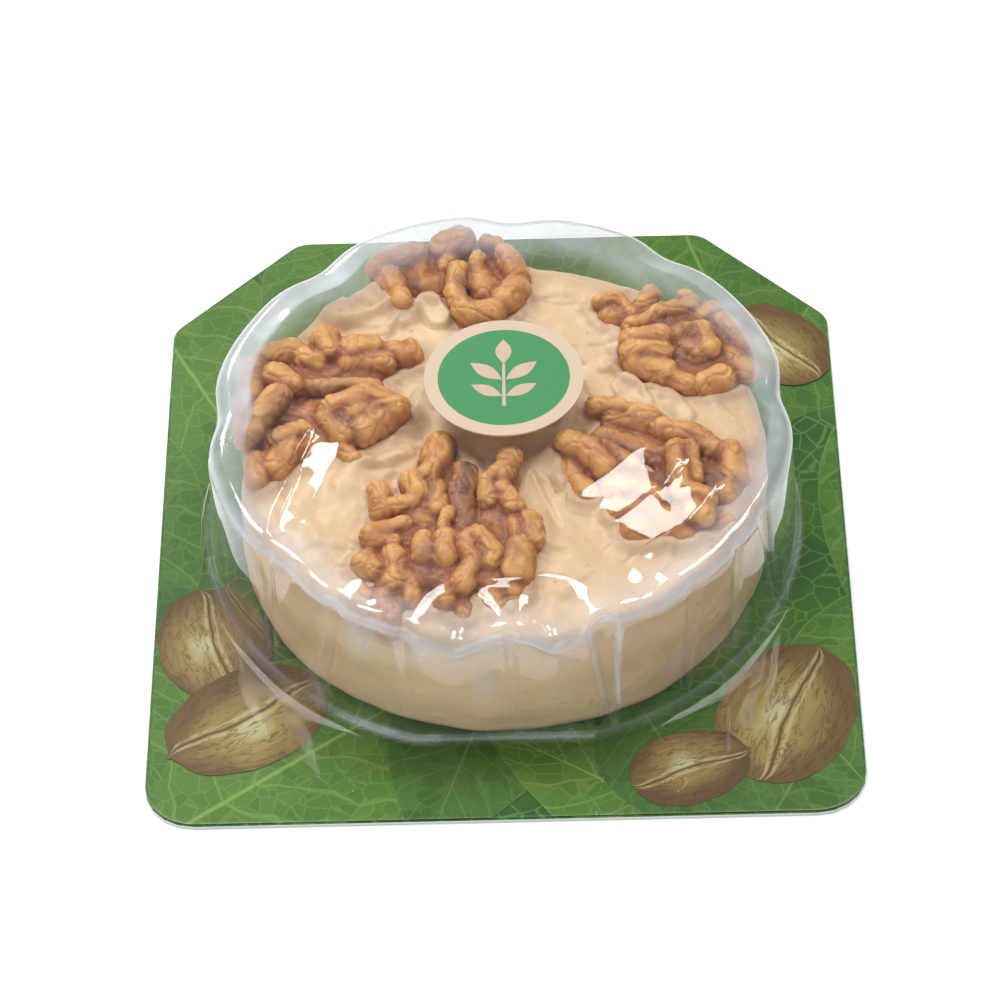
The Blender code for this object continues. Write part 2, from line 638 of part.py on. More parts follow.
def main():
    remove_everything()
    pack = bpy.data.objects.new("pack", None)
    bpy.context.scene.collection.objects.link(pack)

    card_print = make_material("Printed card", (0.06, 0.22, 0.03), 0.45)
    film_clear = make_material("Clear film", (0.90, 0.95, 0.96), 0.08, alpha=0.25)
    cheese_cream = make_material("Cream cheese", (0.83, 0.66, 0.46), 0.55)
    nut_skin = make_material("Walnut skin", (0.48, 0.25, 0.10), 0.5)
    label_paper = make_material("Label paper", (0.10, 0.32, 0.13), 0.4)

    make_card(card_print, pack)
    make_film(film_clear, pack)
    cheese = make_cheese(cheese_cream, pack)
    nuts = [make_nut(name, nut_skin, pack) for name in NUT_FOLDS]
    cut_pockets(cheese, [make_pocket(nut) for nut in nuts])
    make_label(label_paper, pack)


main()
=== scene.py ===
"""Looks of the walnut cheese in its clear pack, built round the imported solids.

The printed card and the label keep their solids and get finishes and printed shapes.
The clear film, the cheese and the five walnut halves are replaced by finer meshes of
the same forms. Lengths are in metres unless a name or comment says millimetres.
"""

import json
import math

import bmesh
import bpy
from bpy.props import (
    FloatProperty, FloatVectorProperty, IntProperty, PointerProperty)
from mathutils import Matrix, Vector, noise
from mathutils.bvhtree import BVHTree

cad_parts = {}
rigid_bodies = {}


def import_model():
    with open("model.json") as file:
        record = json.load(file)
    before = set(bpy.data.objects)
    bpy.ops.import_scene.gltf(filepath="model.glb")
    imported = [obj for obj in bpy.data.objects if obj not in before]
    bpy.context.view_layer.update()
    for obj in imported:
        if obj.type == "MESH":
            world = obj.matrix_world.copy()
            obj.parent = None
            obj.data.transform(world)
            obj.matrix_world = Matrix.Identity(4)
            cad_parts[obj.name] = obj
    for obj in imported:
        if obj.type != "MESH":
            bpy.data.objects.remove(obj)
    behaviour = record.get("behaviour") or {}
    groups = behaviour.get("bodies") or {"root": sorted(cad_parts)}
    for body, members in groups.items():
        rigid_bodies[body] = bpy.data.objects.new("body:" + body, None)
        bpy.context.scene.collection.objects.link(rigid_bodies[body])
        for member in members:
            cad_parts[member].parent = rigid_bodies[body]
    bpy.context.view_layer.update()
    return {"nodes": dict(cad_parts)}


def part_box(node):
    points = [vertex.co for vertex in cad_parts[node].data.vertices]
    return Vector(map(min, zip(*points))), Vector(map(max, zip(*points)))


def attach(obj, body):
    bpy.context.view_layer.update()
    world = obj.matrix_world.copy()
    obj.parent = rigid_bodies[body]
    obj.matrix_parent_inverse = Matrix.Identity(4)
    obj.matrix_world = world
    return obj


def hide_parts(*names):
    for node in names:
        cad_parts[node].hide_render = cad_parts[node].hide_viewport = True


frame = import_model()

bl_info = {
    "name": "Walnut cheese pack",
    "version": (1, 0, 0),
    "blender": (4, 5, 0),
    "location": "3D View > Sidebar > Cheese Pack",
    "description": "Dresses the solids of a packed walnut cheese",
    "category": "Object",
}

MM = 0.001

# Card
CARD_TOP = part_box("base_card")[1].z
CARD_WIDTH = 112.0 * MM
CARD_DEPTH = 128.5 * MM
REAR_CUT = 21.0 * MM
REAR_CORNER_RADIUS = 4.5 * MM
FRONT_CORNER_RADIUS = 8.0 * MM
CORNER_STEPS = 8
PRINT_MARGIN = 0.35 * MM
PRINT_LAYER = 0.012 * MM
CUT_EDGE_DEPTH = 0.05 * MM
CUT_EDGE_COLOUR = (0.75, 0.80, 0.78)
LAMINATE_SPECULAR = 0.2

# Clear film
CLEARANCE = 0.3 * MM
FILM_INDEX = 1.42
FILM_THICKNESS = 0.4 * MM
FLANGE_TOP = CARD_TOP + CLEARANCE + FILM_THICKNESS
DOME_CENTRE = Vector((0.2 * MM, -3.0 * MM))
DOME_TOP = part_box("clear_film")[1].z
FOOT_RADIUS = 48.0 * MM
FOOT_FRONT = 45.9 * MM
FOOT_ROUND = 1.2 * MM
RIM_RADIUS = 46.8 * MM
RIM_ROUND = 2.6 * MM
RIM_SETBACK = 0.8 * MM
NOTCH_DEPTH = 1.6 * MM
NOTCH_DIP = 0.5 * MM
NOTCH_WIDTH = math.radians(7.0)
NOTCH_ANGLES = [math.radians(a) for a in (5.0, 52.0, 87.0, 131.0, 178.0, 222.0)]
CRUSH_ANGLE = math.radians(262.0)
CRUSH_WIDTH = math.radians(24.0)
CRUSH_DROP = 2.2 * MM
CRUSH_PULL = 0.2 * MM
CROWN_STEPS = 88
SHOULDER_STEPS = 9
WALL_STEPS = 26
FLANGE_STEPS = 10
FLANGE_EDGE_SHARES = (1.0, 0.992, 0.975)
FILM_GLOSS = {"flange": 0.3, "wall": 1.2, "shoulder": 1.2, "crown": 1.0}
FILM_TINT = (0.965, 0.985, 0.98)

# Height and length of the fine ripple that makes the film's reflections wander
FILM_RIPPLE = 0.03 * MM
FILM_RIPPLE_LENGTH = 2.4 * MM

# Sags of the crushed front rim: angle and width in degrees, depth in millimetres
RIM_SAGS = [
    (260.5, 5.2, 3.2),
    (280.5, 4.6, 3.6),
    (240.0, 4.0, 0.8),
    (301.0, 4.5, 0.9),
]

# Sharp creases that run down the wall: angle at the rim and at the foot, half-width at
# the rim and at the foot in degrees, depth in millimetres
WALL_CREASES = [
    (289.6, 291.0, 3.5, 0.6, 1.5),
    (236.0, 233.0, 2.2, 1.0, 0.5),
    (216.5, 220.0, 2.4, 1.2, 0.6),
    (309.0, 306.0, 2.2, 1.0, 0.5),
    (322.0, 318.0, 2.0, 1.0, 0.45),
    (331.5, 336.0, 2.4, 1.0, 0.5),
    (251.0, 252.5, 1.6, 0.6, 0.35),
    (271.5, 272.0, 1.6, 0.6, 0.4),
]

# Milky bands inside the dome's rim: direction and half-spread in degrees, width in
# millimetres, milky share
RIM_BANDS = [
    (150.0, 44.0, 3.5, 1.05),
    (103.0, 22.0, 2.6, 0.70),
    (30.0, 34.0, 2.2, 0.80),
    (352.0, 16.0, 1.6, 0.70),
]

# Creased panels of the dome's top: a point where the panel starts in millimetres,
# direction of its fall in degrees, slope, length of a facet in millimetres, number of
# facets and half-width of the panel in millimetres. Each facet ends with a short step
# back up, whose length is FACET_RETURN.
CROWN_PANELS = [
    (17.6, -16.6, 313.0, 0.27, 7.6, 2, 8.5),
    (-27.6, -18.6, 165.0, 0.27, 5.8, 1, 11.5),
]
FACET_RETURN = 0.7

# Folds where the dome's top steps down: a point on the fold in millimetres, direction
# of the step in degrees, its drop, its width and half its length in millimetres
CROWN_FOLDS = [
    (-12.0, -34.0, 169.0, 0.34, 0.34, 8.5),
    (24.0, -33.0, 330.0, 0.3, 0.4, 8.0),
    (4.0, -38.5, 260.0, 0.4, 0.5, 12.0),
    (-33.0, 22.0, 140.0, 0.4, 0.9, 12.0),
    (34.0, 20.0, 30.0, 0.5, 0.9, 12.0),
    (14.0, 37.0, 75.0, 0.5, 0.9, 12.0),
]

# Cheese
CHEESE_CENTRE = Vector((0.7 * MM, -4.9 * MM))
CHEESE_RADIUS = 41.9 * MM
CHEESE_SPREAD = 0.8 * MM
CHEESE_TOP = 21.4 * MM
CHEESE_BOTTOM = CARD_TOP + CLEARANCE
CHEESE_EDGE_ROUND = 2.2 * MM
CHEESE_FOOT_ROUND = 1.2 * MM
BULGE = 1.3 * MM
BULGE_ANGLE = math.radians(128.0)
BULGE_WIDTH = math.radians(24.0)
SIDE_UNEVENNESS = 0.4 * MM
SIDE_LUMPS = 0.45 * MM
SIDE_GRAIN = 0.12 * MM
TOP_UNEVENNESS = 0.25 * MM
SIDE_WAVES = 1.7
SIDE_WAVE_HEIGHT = 5.3 * MM
TOP_WAVE = 6.0 * MM
CHEESE_TOP_STEPS = 116
CHEESE_EDGE_STEPS = 8
CHEESE_SIDE_STEPS = 36
CHEESE_ROSE = (0.70, 0.42, 0.31)

# Walnut halves, in millimetres unless MM is named
SIGHT_LEVEL = 24.5
SIGHT_SLOPE = 0.916
NUT_BODY_TOP = 23.1
BODY_GROWTH = 1.1
FOLD_GROWTH = 1.17
ROOT_SHIFT = 1.1
FOLD_STEP = 0.35 * MM
FOLD_SWAY = 1.3 * MM

# Rounds of smoothing: of the skin, and of the wide form that the valleys lie below
SKIN_BLUR = 7
HOLLOW_BLUR = 26

# Folds of each walnut half, in millimetres: start x, y, radius, end x, y, radius and
# height of the crest. The y values are read at SIGHT_LEVEL on a line of sight that
# comes down from the front, so a fold that lies lower than this lies further back.
NUT_FOLDS = {
    "walnut_back": [
        (-17.8, 30.7, 2.3, -15.6, 25.7, 1.6, 25.4),
        (-19.8, 33.3, 1.9, -17.4, 35.1, 2.2, 25.4),
        (-16.8, 35.5, 2.2, -13.6, 36.9, 1.8, 25.8),
        (-13.0, 35.2, 1.7, -12.2, 28.7, 1.7, 24.2),
        (-10.2, 36.1, 1.5, -10.4, 29.7, 1.4, 23.6),
        (-8.6, 38.3, 2.4, -6.0, 39.3, 2.4, 26.6),
        (-7.8, 36.1, 1.8, -8.8, 32.7, 1.4, 25.0),
        (-6.4, 32.2, 1.7, -7.0, 27.2, 1.7, 26.2),
        (-7.0, 27.2, 1.7, -5.4, 22.9, 1.9, 26.4),
        (-4.2, 21.7, 2.2, -0.6, 21.9, 2.2, 26.0),
        (1.0, 24.3, 2.4, 2.8, 27.3, 2.4, 26.0),
        (3.2, 29.9, 2.3, 2.2, 32.9, 2.3, 25.6),
        (-3.4, 30.2, 2.6, -1.6, 26.7, 2.8, 25.4),
        (-3.0, 35.3, 1.2, -3.4, 34.1, 1.2, 26.0),
        (1.0, 35.7, 1.6, 2.0, 34.1, 1.8, 25.4),
        (-1.4, 38.6, 1.4, -0.2, 38.0, 1.3, 25.0),
    ],
    "walnut_left": [
        (-28.2, 16.4, 2.4, -27.4, 14.4, 2.0, 26.4),
        (-37.0, 13.2, 2.3, -33.6, 14.2, 2.3, 25.6),
        (-31.6, 12.8, 2.0, -29.6, 11.6, 1.9, 25.6),
        (-24.4, 13.6, 2.5, -20.6, 14.0, 2.3, 26.0),
        (-24.6, 10.8, 2.0, -18.8, 11.2, 2.0, 25.2),
        (-17.8, 13.4, 1.8, -15.4, 13.2, 1.9, 25.2),
        (-14.4, 15.2, 1.4, -13.6, 13.4, 1.4, 24.8),
        (-36.0, 8.8, 2.2, -33.2, 6.6, 2.0, 26.0),
        (-39.4, 10.0, 2.2, -40.4, 4.0, 2.2, 25.0),
        (-40.6, 2.0, 2.2, -40.2, -5.0, 2.1, 24.6),
        (-35.4, 3.6, 2.2, -38.2, -1.4, 2.3, 26.2),
        (-38.2, -1.4, 2.3, -39.0, -4.0, 2.0, 25.8),
        (-32.0, 6.0, 1.3, -24.5, 6.0, 1.5, 24.4),
        (-24.5, 6.2, 1.5, -20.0, 6.2, 1.4, 24.4),
        (-26.4, 1.0, 2.3, -21.2, 2.4, 2.7, 26.6),
        (-20.2, 2.6, 2.5, -16.8, 0.6, 2.5, 26.4),
        (-18.2, -1.2, 2.6, -21.6, -4.2, 2.4, 25.8),
        (-27.4, -1.6, 2.2, -25.0, -5.0, 2.4, 25.6),
        (-23.0, -1.6, 3.4, -21.0, -1.0, 3.2, 26.0),
        (-26.0, -7.4, 1.6, -23.6, -9.6, 1.4, 24.2),
        (-31.2, -3.6, 1.8, -35.0, -6.0, 2.2, 25.0),
        (-33.4, -7.4, 2.2, -36.0, -11.6, 2.2, 24.8),
        (-38.4, -10.2, 2.0, -38.6, -14.0, 1.9, 24.4),
    ],
    "walnut_front": [
        (-8.6, -5.2, 1.2, -9.6, -8.0, 1.9, 25.2),
        (-9.4, -7.2, 2.0, -10.4, -11.4, 2.3, 25.6),
        (-9.8, -10.0, 1.6, -11.6, -14.0, 1.7, 26.0),
        (-13.6, -15.2, 2.2, -13.0, -17.8, 2.0, 25.8),
        (-19.0, -17.6, 1.8, -18.6, -21.6, 1.9, 24.6),
        (-17.6, -20.6, 1.4, -13.6, -19.6, 1.5, 25.2),
        (-20.2, -26.6, 1.9, -15.2, -24.6, 1.8, 25.0),
        (-19.4, -28.2, 1.6, -16.4, -28.2, 1.6, 24.6),
        (-10.6, -17.0, 2.0, -9.6, -21.5, 1.9, 24.8),
        (1.6, -10.4, 1.9, 0.2, -14.6, 2.0, 26.0),
        (-1.6, -15.8, 1.4, -1.6, -19.6, 1.5, 25.6),
        (0.6, -17.8, 1.6, 2.2, -21.0, 1.8, 25.4),
        (4.6, -24.2, 1.9, 5.4, -28.6, 1.9, 25.0),
        (2.0, -24.6, 1.5, 3.0, -28.0, 1.6, 24.6),
        (3.2, -30.2, 2.3, 2.6, -34.8, 2.5, 25.2),
        (1.8, -36.2, 1.8, 2.2, -39.2, 1.6, 23.6),
        (-7.8, -21.8, 1.0, -8.8, -24.6, 1.0, 25.4),
        (-12.2, -28.2, 1.9, -12.0, -31.6, 2.0, 25.4),
        (-8.6, -28.0, 2.0, -8.8, -32.0, 2.1, 25.8),
        (-5.6, -28.2, 1.7, -4.4, -31.2, 1.7, 25.8),
        (-3.4, -26.4, 1.6, -1.4, -30.6, 1.9, 26.0),
        (-1.2, -31.4, 1.7, -1.4, -33.0, 1.4, 25.4),
        (-4.0, -32.8, 1.8, -6.0, -36.8, 2.2, 25.8),
        (-7.6, -37.8, 1.9, -8.4, -40.6, 1.9, 24.2),
        (-6.0, -41.5, 2.0, -5.6, -43.6, 1.9, 22.8),
        (-1.8, -37.0, 2.2, -1.2, -41.5, 2.2, 23.2),
        (-21.0, -32.4, 2.2, -19.6, -34.0, 2.0, 24.6),
        (-16.6, -31.8, 2.2, -16.2, -36.4, 2.2, 25.0),
        (-14.0, -36.8, 2.3, -13.6, -40.0, 2.1, 24.2),
        (-17.8, -38.0, 2.0, -17.6, -41.0, 1.9, 23.6),
        (-21.4, -39.0, 1.6, -20.6, -39.8, 1.5, 22.4),
        (-17.4, -43.2, 2.7, -17.6, -44.4, 2.6, 23.4),
    ],
    "walnut_right": [
        (15.8, 0.4, 1.7, 19.6, -0.2, 1.6, 25.2),
        (21.4, -1.4, 1.6, 24.0, -2.2, 1.7, 25.0),
        (18.4, -3.0, 1.8, 24.0, -4.6, 2.2, 24.4),
        (26.2, -5.2, 2.0, 30.4, -6.6, 2.0, 25.4),
        (31.8, -7.4, 2.0, 34.0, -9.6, 1.9, 25.4),
        (36.4, -10.6, 2.0, 37.0, -16.0, 2.4, 24.6),
        (36.4, -18.0, 2.0, 35.2, -20.0, 1.8, 24.0),
        (10.8, -7.4, 1.9, 14.6, -10.0, 2.3, 26.0),
        (14.6, -10.0, 2.3, 17.0, -13.2, 2.1, 26.2),
        (17.6, -9.0, 1.5, 20.8, -13.0, 1.6, 25.4),
        (11.4, -13.0, 1.9, 13.6, -18.6, 2.2, 23.8),
        (28.0, -9.4, 1.6, 28.6, -17.6, 1.9, 26.4),
        (30.2, -9.6, 1.4, 31.0, -16.0, 1.5, 25.8),
        (29.6, -19.0, 2.0, 32.4, -20.2, 1.7, 26.0),
        (32.8, -21.2, 1.5, 32.0, -24.0, 1.7, 25.6),
        (30.6, -22.4, 1.8, 30.2, -23.2, 1.6, 25.4),
        (18.6, -17.6, 2.6, 24.0, -20.6, 2.8, 24.8),
        (19.0, -22.6, 2.2, 26.0, -25.0, 2.6, 24.2),
        (22.0, -28.0, 2.0, 29.0, -28.0, 2.2, 23.0),
        (33.6, -27.4, 1.6, 36.2, -25.6, 1.4, 22.6),
    ],
    "walnut_right_back": [
        (17.0, 24.2, 1.5, 19.6, 24.4, 1.7, 24.8),
        (20.6, 23.0, 1.4, 22.0, 20.6, 1.5, 24.6),
        (25.4, 25.6, 1.6, 23.6, 22.8, 1.5, 25.2),
        (21.6, 18.0, 1.5, 26.0, 19.6, 1.6, 24.8),
        (26.0, 20.4, 1.6, 31.6, 22.0, 1.8, 25.2),
        (30.8, 24.4, 1.4, 31.6, 23.4, 1.4, 25.0),
        (21.8, 15.0, 2.0, 26.2, 15.2, 2.1, 26.4),
        (22.0, 12.2, 2.2, 26.2, 12.0, 2.0, 26.2),
        (22.6, 9.6, 2.0, 27.0, 7.2, 2.2, 25.4),
        (27.6, 6.4, 1.9, 30.6, 4.4, 1.8, 24.6),
        (29.6, 16.2, 1.6, 30.8, 16.8, 1.6, 26.2),
        (33.0, 17.0, 1.8, 34.4, 12.6, 1.7, 26.6),
        (30.4, 13.6, 1.9, 32.6, 10.6, 1.7, 25.6),
        (30.6, 15.4, 1.9, 32.8, 13.4, 2.0, 25.9),
        (29.0, 10.4, 1.6, 31.6, 8.6, 1.6, 24.4),
        (33.2, 4.6, 1.9, 35.8, 5.6, 2.3, 25.2),
        (36.8, 18.0, 2.0, 39.6, 13.6, 2.1, 24.6),
        (37.6, 10.4, 2.2, 39.8, 7.4, 2.0, 24.4),
        (35.0, 21.2, 1.8, 33.4, 19.6, 1.8, 24.8),
    ],
}

# Low body that joins the folds of each half: start x, y, radius, end x, y, radius
NUT_BODIES = {
    "walnut_back": [
        (-14.6, 31.4, 3.2, -7.0, 31.4, 3.6),
        (-3.0, 31.8, 3.4, -1.2, 26.6, 3.8),
        (-2.6, 34.4, 2.6, 0.6, 31.0, 3.0),
    ],
    "walnut_left": [
        (-36.0, 9.6, 3.4, -22.0, 10.8, 3.4),
        (-35.0, 2.0, 3.8, -24.0, 0.0, 4.0),
        (-34.6, -5.6, 3.4, -30.0, -3.6, 3.6),
    ],
    "walnut_front": [
        (-5.6, -11.4, 1.6, -6.0, -16.0, 2.0),
        (-6.0, -16.0, 2.0, -6.0, -23.0, 2.6),
        (1.0, -13.6, 1.8, -1.0, -22.0, 2.4),
        (-10.6, -12.0, 2.8, -12.0, -22.0, 3.4),
        (-14.0, -26.0, 3.6, -1.0, -26.0, 3.8),
        (-15.0, -33.6, 3.6, -2.0, -33.6, 3.6),
    ],
    "walnut_right": [
        (17.0, -5.0, 2.2, 26.0, -9.0, 2.6),
        (15.2, -10.6, 3.0, 24.0, -16.6, 3.6),
        (27.0, -10.0, 3.4, 33.4, -14.6, 3.6),
        (26.0, -15.0, 2.6, 31.0, -19.0, 2.6),
        (22.0, -23.6, 3.2, 30.0, -22.0, 3.4),
    ],
    "walnut_right_back": [
        (19.0, 22.4, 1.7, 24.0, 21.6, 2.2),
        (25.0, 13.0, 3.6, 34.0, 13.0, 3.8),
        (26.0, 19.4, 2.6, 33.0, 19.2, 2.8),
        (28.0, 8.4, 3.0, 36.4, 9.0, 3.2),
        (35.6, 12.0, 2.8, 35.4, 16.0, 2.8),
    ],
}

# Painted shade on the walnut skins, where valleys lie in shade, in millimetres: start
# x, y, end x, y, width, depth
NUT_SHADES = [
    (-4.4, -10.6, -5.8, -17.0, 1.9, 1.0),
    (-6.0, -17.5, -4.6, -23.5, 1.4, 0.6),
    (-11.6, -31.0, -10.6, -37.0, 1.5, 0.75),
    (-3.6, -37.6, -4.2, -41.6, 1.0, 0.7),
    (1.6, -28.0, 2.6, -31.6, 1.4, 0.5),
    (16.0, -6.6, 22.4, -10.6, 1.8, 0.75),
    (22.4, -10.6, 26.6, -16.4, 2.0, 0.6),
    (33.4, -12.6, 33.6, -19.4, 1.3, 0.85),
    (-33.6, 2.6, -37.2, -5.0, 2.2, 0.85),
    (-29.6, 5.6, -24.0, 6.4, 1.2, 0.6),
    (-25.4, -1.6, -23.4, -3.8, 1.6, 0.45),
    (-13.4, 30.2, -12.6, 26.2, 1.0, 0.8),
    (-6.4, 29.0, -4.6, 25.0, 1.0, 0.7),
    (26.6, 19.0, 31.0, 15.4, 1.4, 0.6),
    (29.6, 11.0, 34.4, 9.6, 1.2, 0.5),
]

# Strokes left by the spreading knife, in millimetres: start x, y, end x, y, height
# above the cheese's level, width, and steepness of the edges (2 soft, 8 sharp)
CHEESE_STROKES = [
    (-25.6, 26.4, -18.0, 30.6, 1.5, 4.4, 8),
    (-22.0, 22.4, -15.4, 24.6, 0.9, 2.8, 8),
    (-30.5, 22.0, -27.0, 25.0, 1.0, 3.4, 7),
    (-11.4, 26.2, -9.6, 23.0, 1.7, 2.2, 9),
    (-16.6, 20.0, -8.0, 17.6, 0.7, 3.0, 6),
    (-18.4, 18.0, -16.6, 22.0, -0.8, 0.5, 2),
    (-24.6, 28.6, -20.8, 26.4, -1.2, 0.4, 2),
    (-26.0, 22.0, -18.0, 21.4, -0.6, 0.5, 2),
    (6.0, 24.0, 17.0, 18.0, 0.9, 4.2, 2),
    (8.0, 31.0, 15.0, 27.0, 0.7, 3.4, 5),
    (20.6, 7.0, 22.6, 1.6, 1.3, 2.5, 8),
    (25.6, 5.0, 29.0, -0.4, 1.1, 2.6, 8),
    (15.4, 9.6, 17.4, 4.6, 0.7, 2.2, 6),
    (24.0, 2.0, 31.0, -2.0, 0.6, 3.0, 3),
    (33.0, 0.5, 38.0, -6.0, 0.8, 3.4, 5),
    (-29.0, -15.0, -17.0, -8.0, 1.2, 3.4, 3),
    (-27.0, -24.0, -23.0, -14.0, 0.9, 3.2, 4),
    (-33.0, -18.0, -29.0, -28.0, 0.7, 2.6, 4),
    (-13.0, -6.0, -17.0, -12.5, -0.7, 1.3, 2),
    (-20.6, -9.4, -14.2, -6.2, 0.8, 1.1, 4),
    (-10.4, -4.4, -16.4, -4.0, 0.6, 1.2, 4),
    (7.5, -10.0, 10.0, -34.0, 1.0, 3.4, 3),
    (5.4, -12.0, 9.0, -23.0, -0.5, 0.6, 2),
    (-7.5, 3.0, -12.5, 8.0, 0.7, 2.4, 2),
    (13.0, -28.0, 17.0, -38.0, 0.8, 4.0, 2),
    (9.5, 18.0, 17.0, 12.0, 0.6, 1.6, 5),
    (12.0, 30.0, 22.0, 28.0, 0.8, 2.6, 3),
]
SMEAR_SEED = 7
LEDGE_HEIGHT = 0.18 * MM
CRACK_DEPTH = 0.4 * MM
MENISCUS_HEIGHT = 1.15 * MM
MENISCUS_WIDTH = 1.5 * MM
# Width of the painted shade where the paste meets the nuts
PASTE_SHADE_WIDTH = 1.9 * MM
NUT_REACH = 6 * MM

# Printed leaves, in millimetres and degrees: foot x, y, direction, length, width, tone
PRINTED_LEAVES = [
    (-70.0, 66.0, -62.0, 74.0, 44.0, 0.62),
    (-20.0, 72.0, -100.0, 50.0, 40.0, 0.50),
    (30.0, 74.0, -75.0, 60.0, 46.0, 0.55),
    (66.0, 70.0, -118.0, 64.0, 42.0, 0.42),
    (73.0, 30.0, -100.0, 66.0, 36.0, 0.60),
    (76.0, -20.0, -128.0, 58.0, 40.0, 0.66),
    (-74.0, 26.0, -70.0, 60.0, 36.0, 0.55),
    (-68.0, -12.0, -58.0, 50.0, 30.0, 0.20),
    (-66.0, -76.0, 36.0, 78.0, 52.0, 0.78),
    (-64.0, -22.0, -84.0, 44.0, 26.0, 0.66),
    (0.0, -32.0, -108.0, 40.0, 30.0, 0.30),
    (36.0, -70.0, 148.0, 46.0, 26.0, 0.86),
    (34.0, -78.0, 62.0, 44.0, 28.0, 0.34),
    (64.0, -72.0, 122.0, 36.0, 22.0, 0.40),
    (20.0, -40.0, -64.0, 34.0, 26.0, 0.26),
    (-34.0, -72.0, 4.0, 64.0, 13.0, 0.12),
    (4.0, -68.5, 2.0, 62.0, 9.0, 0.15),
]

# Printed whole nuts, in millimetres and degrees: x, y, direction of the tip, length,
# width, tone
PRINTED_NUTS = [
    (-46.5, -27.0, 104.0, 24.0, 19.5, 0.45),
    (-41.0, -43.5, 212.0, 28.0, 21.5, 0.64),
    (44.5, -44.0, 68.0, 30.0, 23.0, 0.70),
    (29.0, -54.8, 20.0, 20.0, 15.5, 0.42),
    (47.0, 37.0, 128.0, 22.0, 17.0, 0.66),
]

# Colours of the printed nuts: lit and dark side from the darkest to the lightest tone,
# lip of the seam, glint and grooves; the lit place and the grooves' stretch are shares
NUT_LIGHTS = ((0.29, 0.165, 0.055), (0.42, 0.31, 0.09))
NUT_DARKS = ((0.085, 0.038, 0.02), (0.17, 0.095, 0.02))
NUT_LIP = (0.58, 0.50, 0.24)
NUT_GLINT = (0.56, 0.55, 0.33)
NUT_GROOVE = (0.075, 0.034, 0.014)
NUT_LIT_PLACE = (0.46, 0.60, 0.0)
NUT_GROOVE_STRETCH = (2.6, 7.5, 1.0)

# Net of printed veins: how far its lines wander; the middle of a noise's colour
NET_WARP = 0.0006
MID_GREY = (0.5, 0.5, 0.5)

# Label print
LABEL_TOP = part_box("label")[1].z
LABEL_CENTRE = Vector((1.0 * MM, 3.6 * MM))
LABEL_DISC_RADIUS = 10.6 * MM
LABEL_INK = 0.015 * MM

# Sprig on the label, in millimetres from its centre: outline of the stem, then the
# leaves with their foot x, y, direction in degrees, length and width
SPRIG_STEM = [(-0.3, -6.4), (0.3, -6.4), (0.22, 3.0), (-0.22, 3.0)]
SPRIG_LEAVES = [
    (0.0, 3.0, 90.0, 5.4, 2.6),
    (0.3, -0.6, 38.0, 6.4, 2.5),
    (-0.3, -0.6, 142.0, 6.4, 2.5),
    (0.3, -4.2, 28.0, 5.6, 2.2),
    (-0.3, -4.2, 152.0, 5.6, 2.2),
]

# Lights: name, place, width and height, power (None: the softboxes' own setting)
LIGHTS = (
    ("softbox_left", (-0.40, 0.36, 0.95), (0.36, 0.36), None),
    ("strip_light", (-0.37, 0.87, 0.66), (0.26, 0.34), 4.2),
    ("softbox_right", (0.40, 0.36, 0.95), (0.36, 0.36), None),
    ("front_panel", (-0.5, -1.0, 0.55), (1.4, 0.7), 5.6),
)
LIGHT_TARGET = Vector((0.0, 0.0, 0.02))
SURROUND_COLOUR = (0.93, 0.96, 1.0)
FLOOR_HALF_SIZE = 2.5

# Camera: its place, and the directions of its right, up and back
SENSOR_WIDTH = 36.0
CAMERA_PLACE = (0.0093, -0.45534, 0.50026)
CAMERA_AXES = (
    (0.9996, -0.0081, -0.0268),
    (0.0241, 0.7374, 0.6751),
    (0.0142, -0.6754, 0.7373),
)


# What every colour setting has in common
COLOUR = {"subtype": "COLOR", "size": 3, "min": 0, "max": 1}


class CardSettings(bpy.types.PropertyGroup):
    light_green: FloatVectorProperty(
        name="Light leaf", description="Colour of the lightest printed leaves",
        default=(0.070, 0.168, 0.010), **COLOUR)
    dark_green: FloatVectorProperty(
        name="Dark leaf", description="Colour of the darkest printed leaves",
        default=(0.020, 0.085, 0.010), **COLOUR)
    vein: FloatVectorProperty(
        name="Vein", description="Colour of the printed veins",
        default=(0.26, 0.42, 0.09), **COLOUR)
    roughness: FloatProperty(
        name="Roughness", description="Roughness of the laminate", default=0.38,
        min=0, max=1, subtype="FACTOR")


class FilmSettings(bpy.types.PropertyGroup):
    segments: IntProperty(
        name="Segments", description="Faces round the dome", default=640, min=72,
        max=720)
    reflection: FloatProperty(
        name="Reflection", description="Strength of the film's reflections",
        default=1.4, min=0, max=4)
    haze: FloatProperty(
        name="Haze", description="Milkiness of the folds and the rim", default=1.0,
        min=0, max=2)
    milk: FloatVectorProperty(
        name="Milk", description="Colour of the stressed film",
        default=(0.66, 0.69, 0.75), **COLOUR)


class CheeseSettings(bpy.types.PropertyGroup):
    segments: IntProperty(
        name="Segments", description="Faces round the cheese", default=420, min=60,
        max=600)
    cream: FloatVectorProperty(
        name="Cream", description="Colour of the paste",
        default=(0.78, 0.54, 0.312), **COLOUR)
    tan: FloatVectorProperty(
        name="Tan", description="Colour of the drier patches",
        default=(0.68, 0.44, 0.25), **COLOUR)
    # Colour of the painted shade beside the nuts and in the paste's pits
    paste_shade: FloatVectorProperty(
        name="Stain", description="Colour of the paste beside the nuts",
        default=(0.42, 0.23, 0.15), **COLOUR)


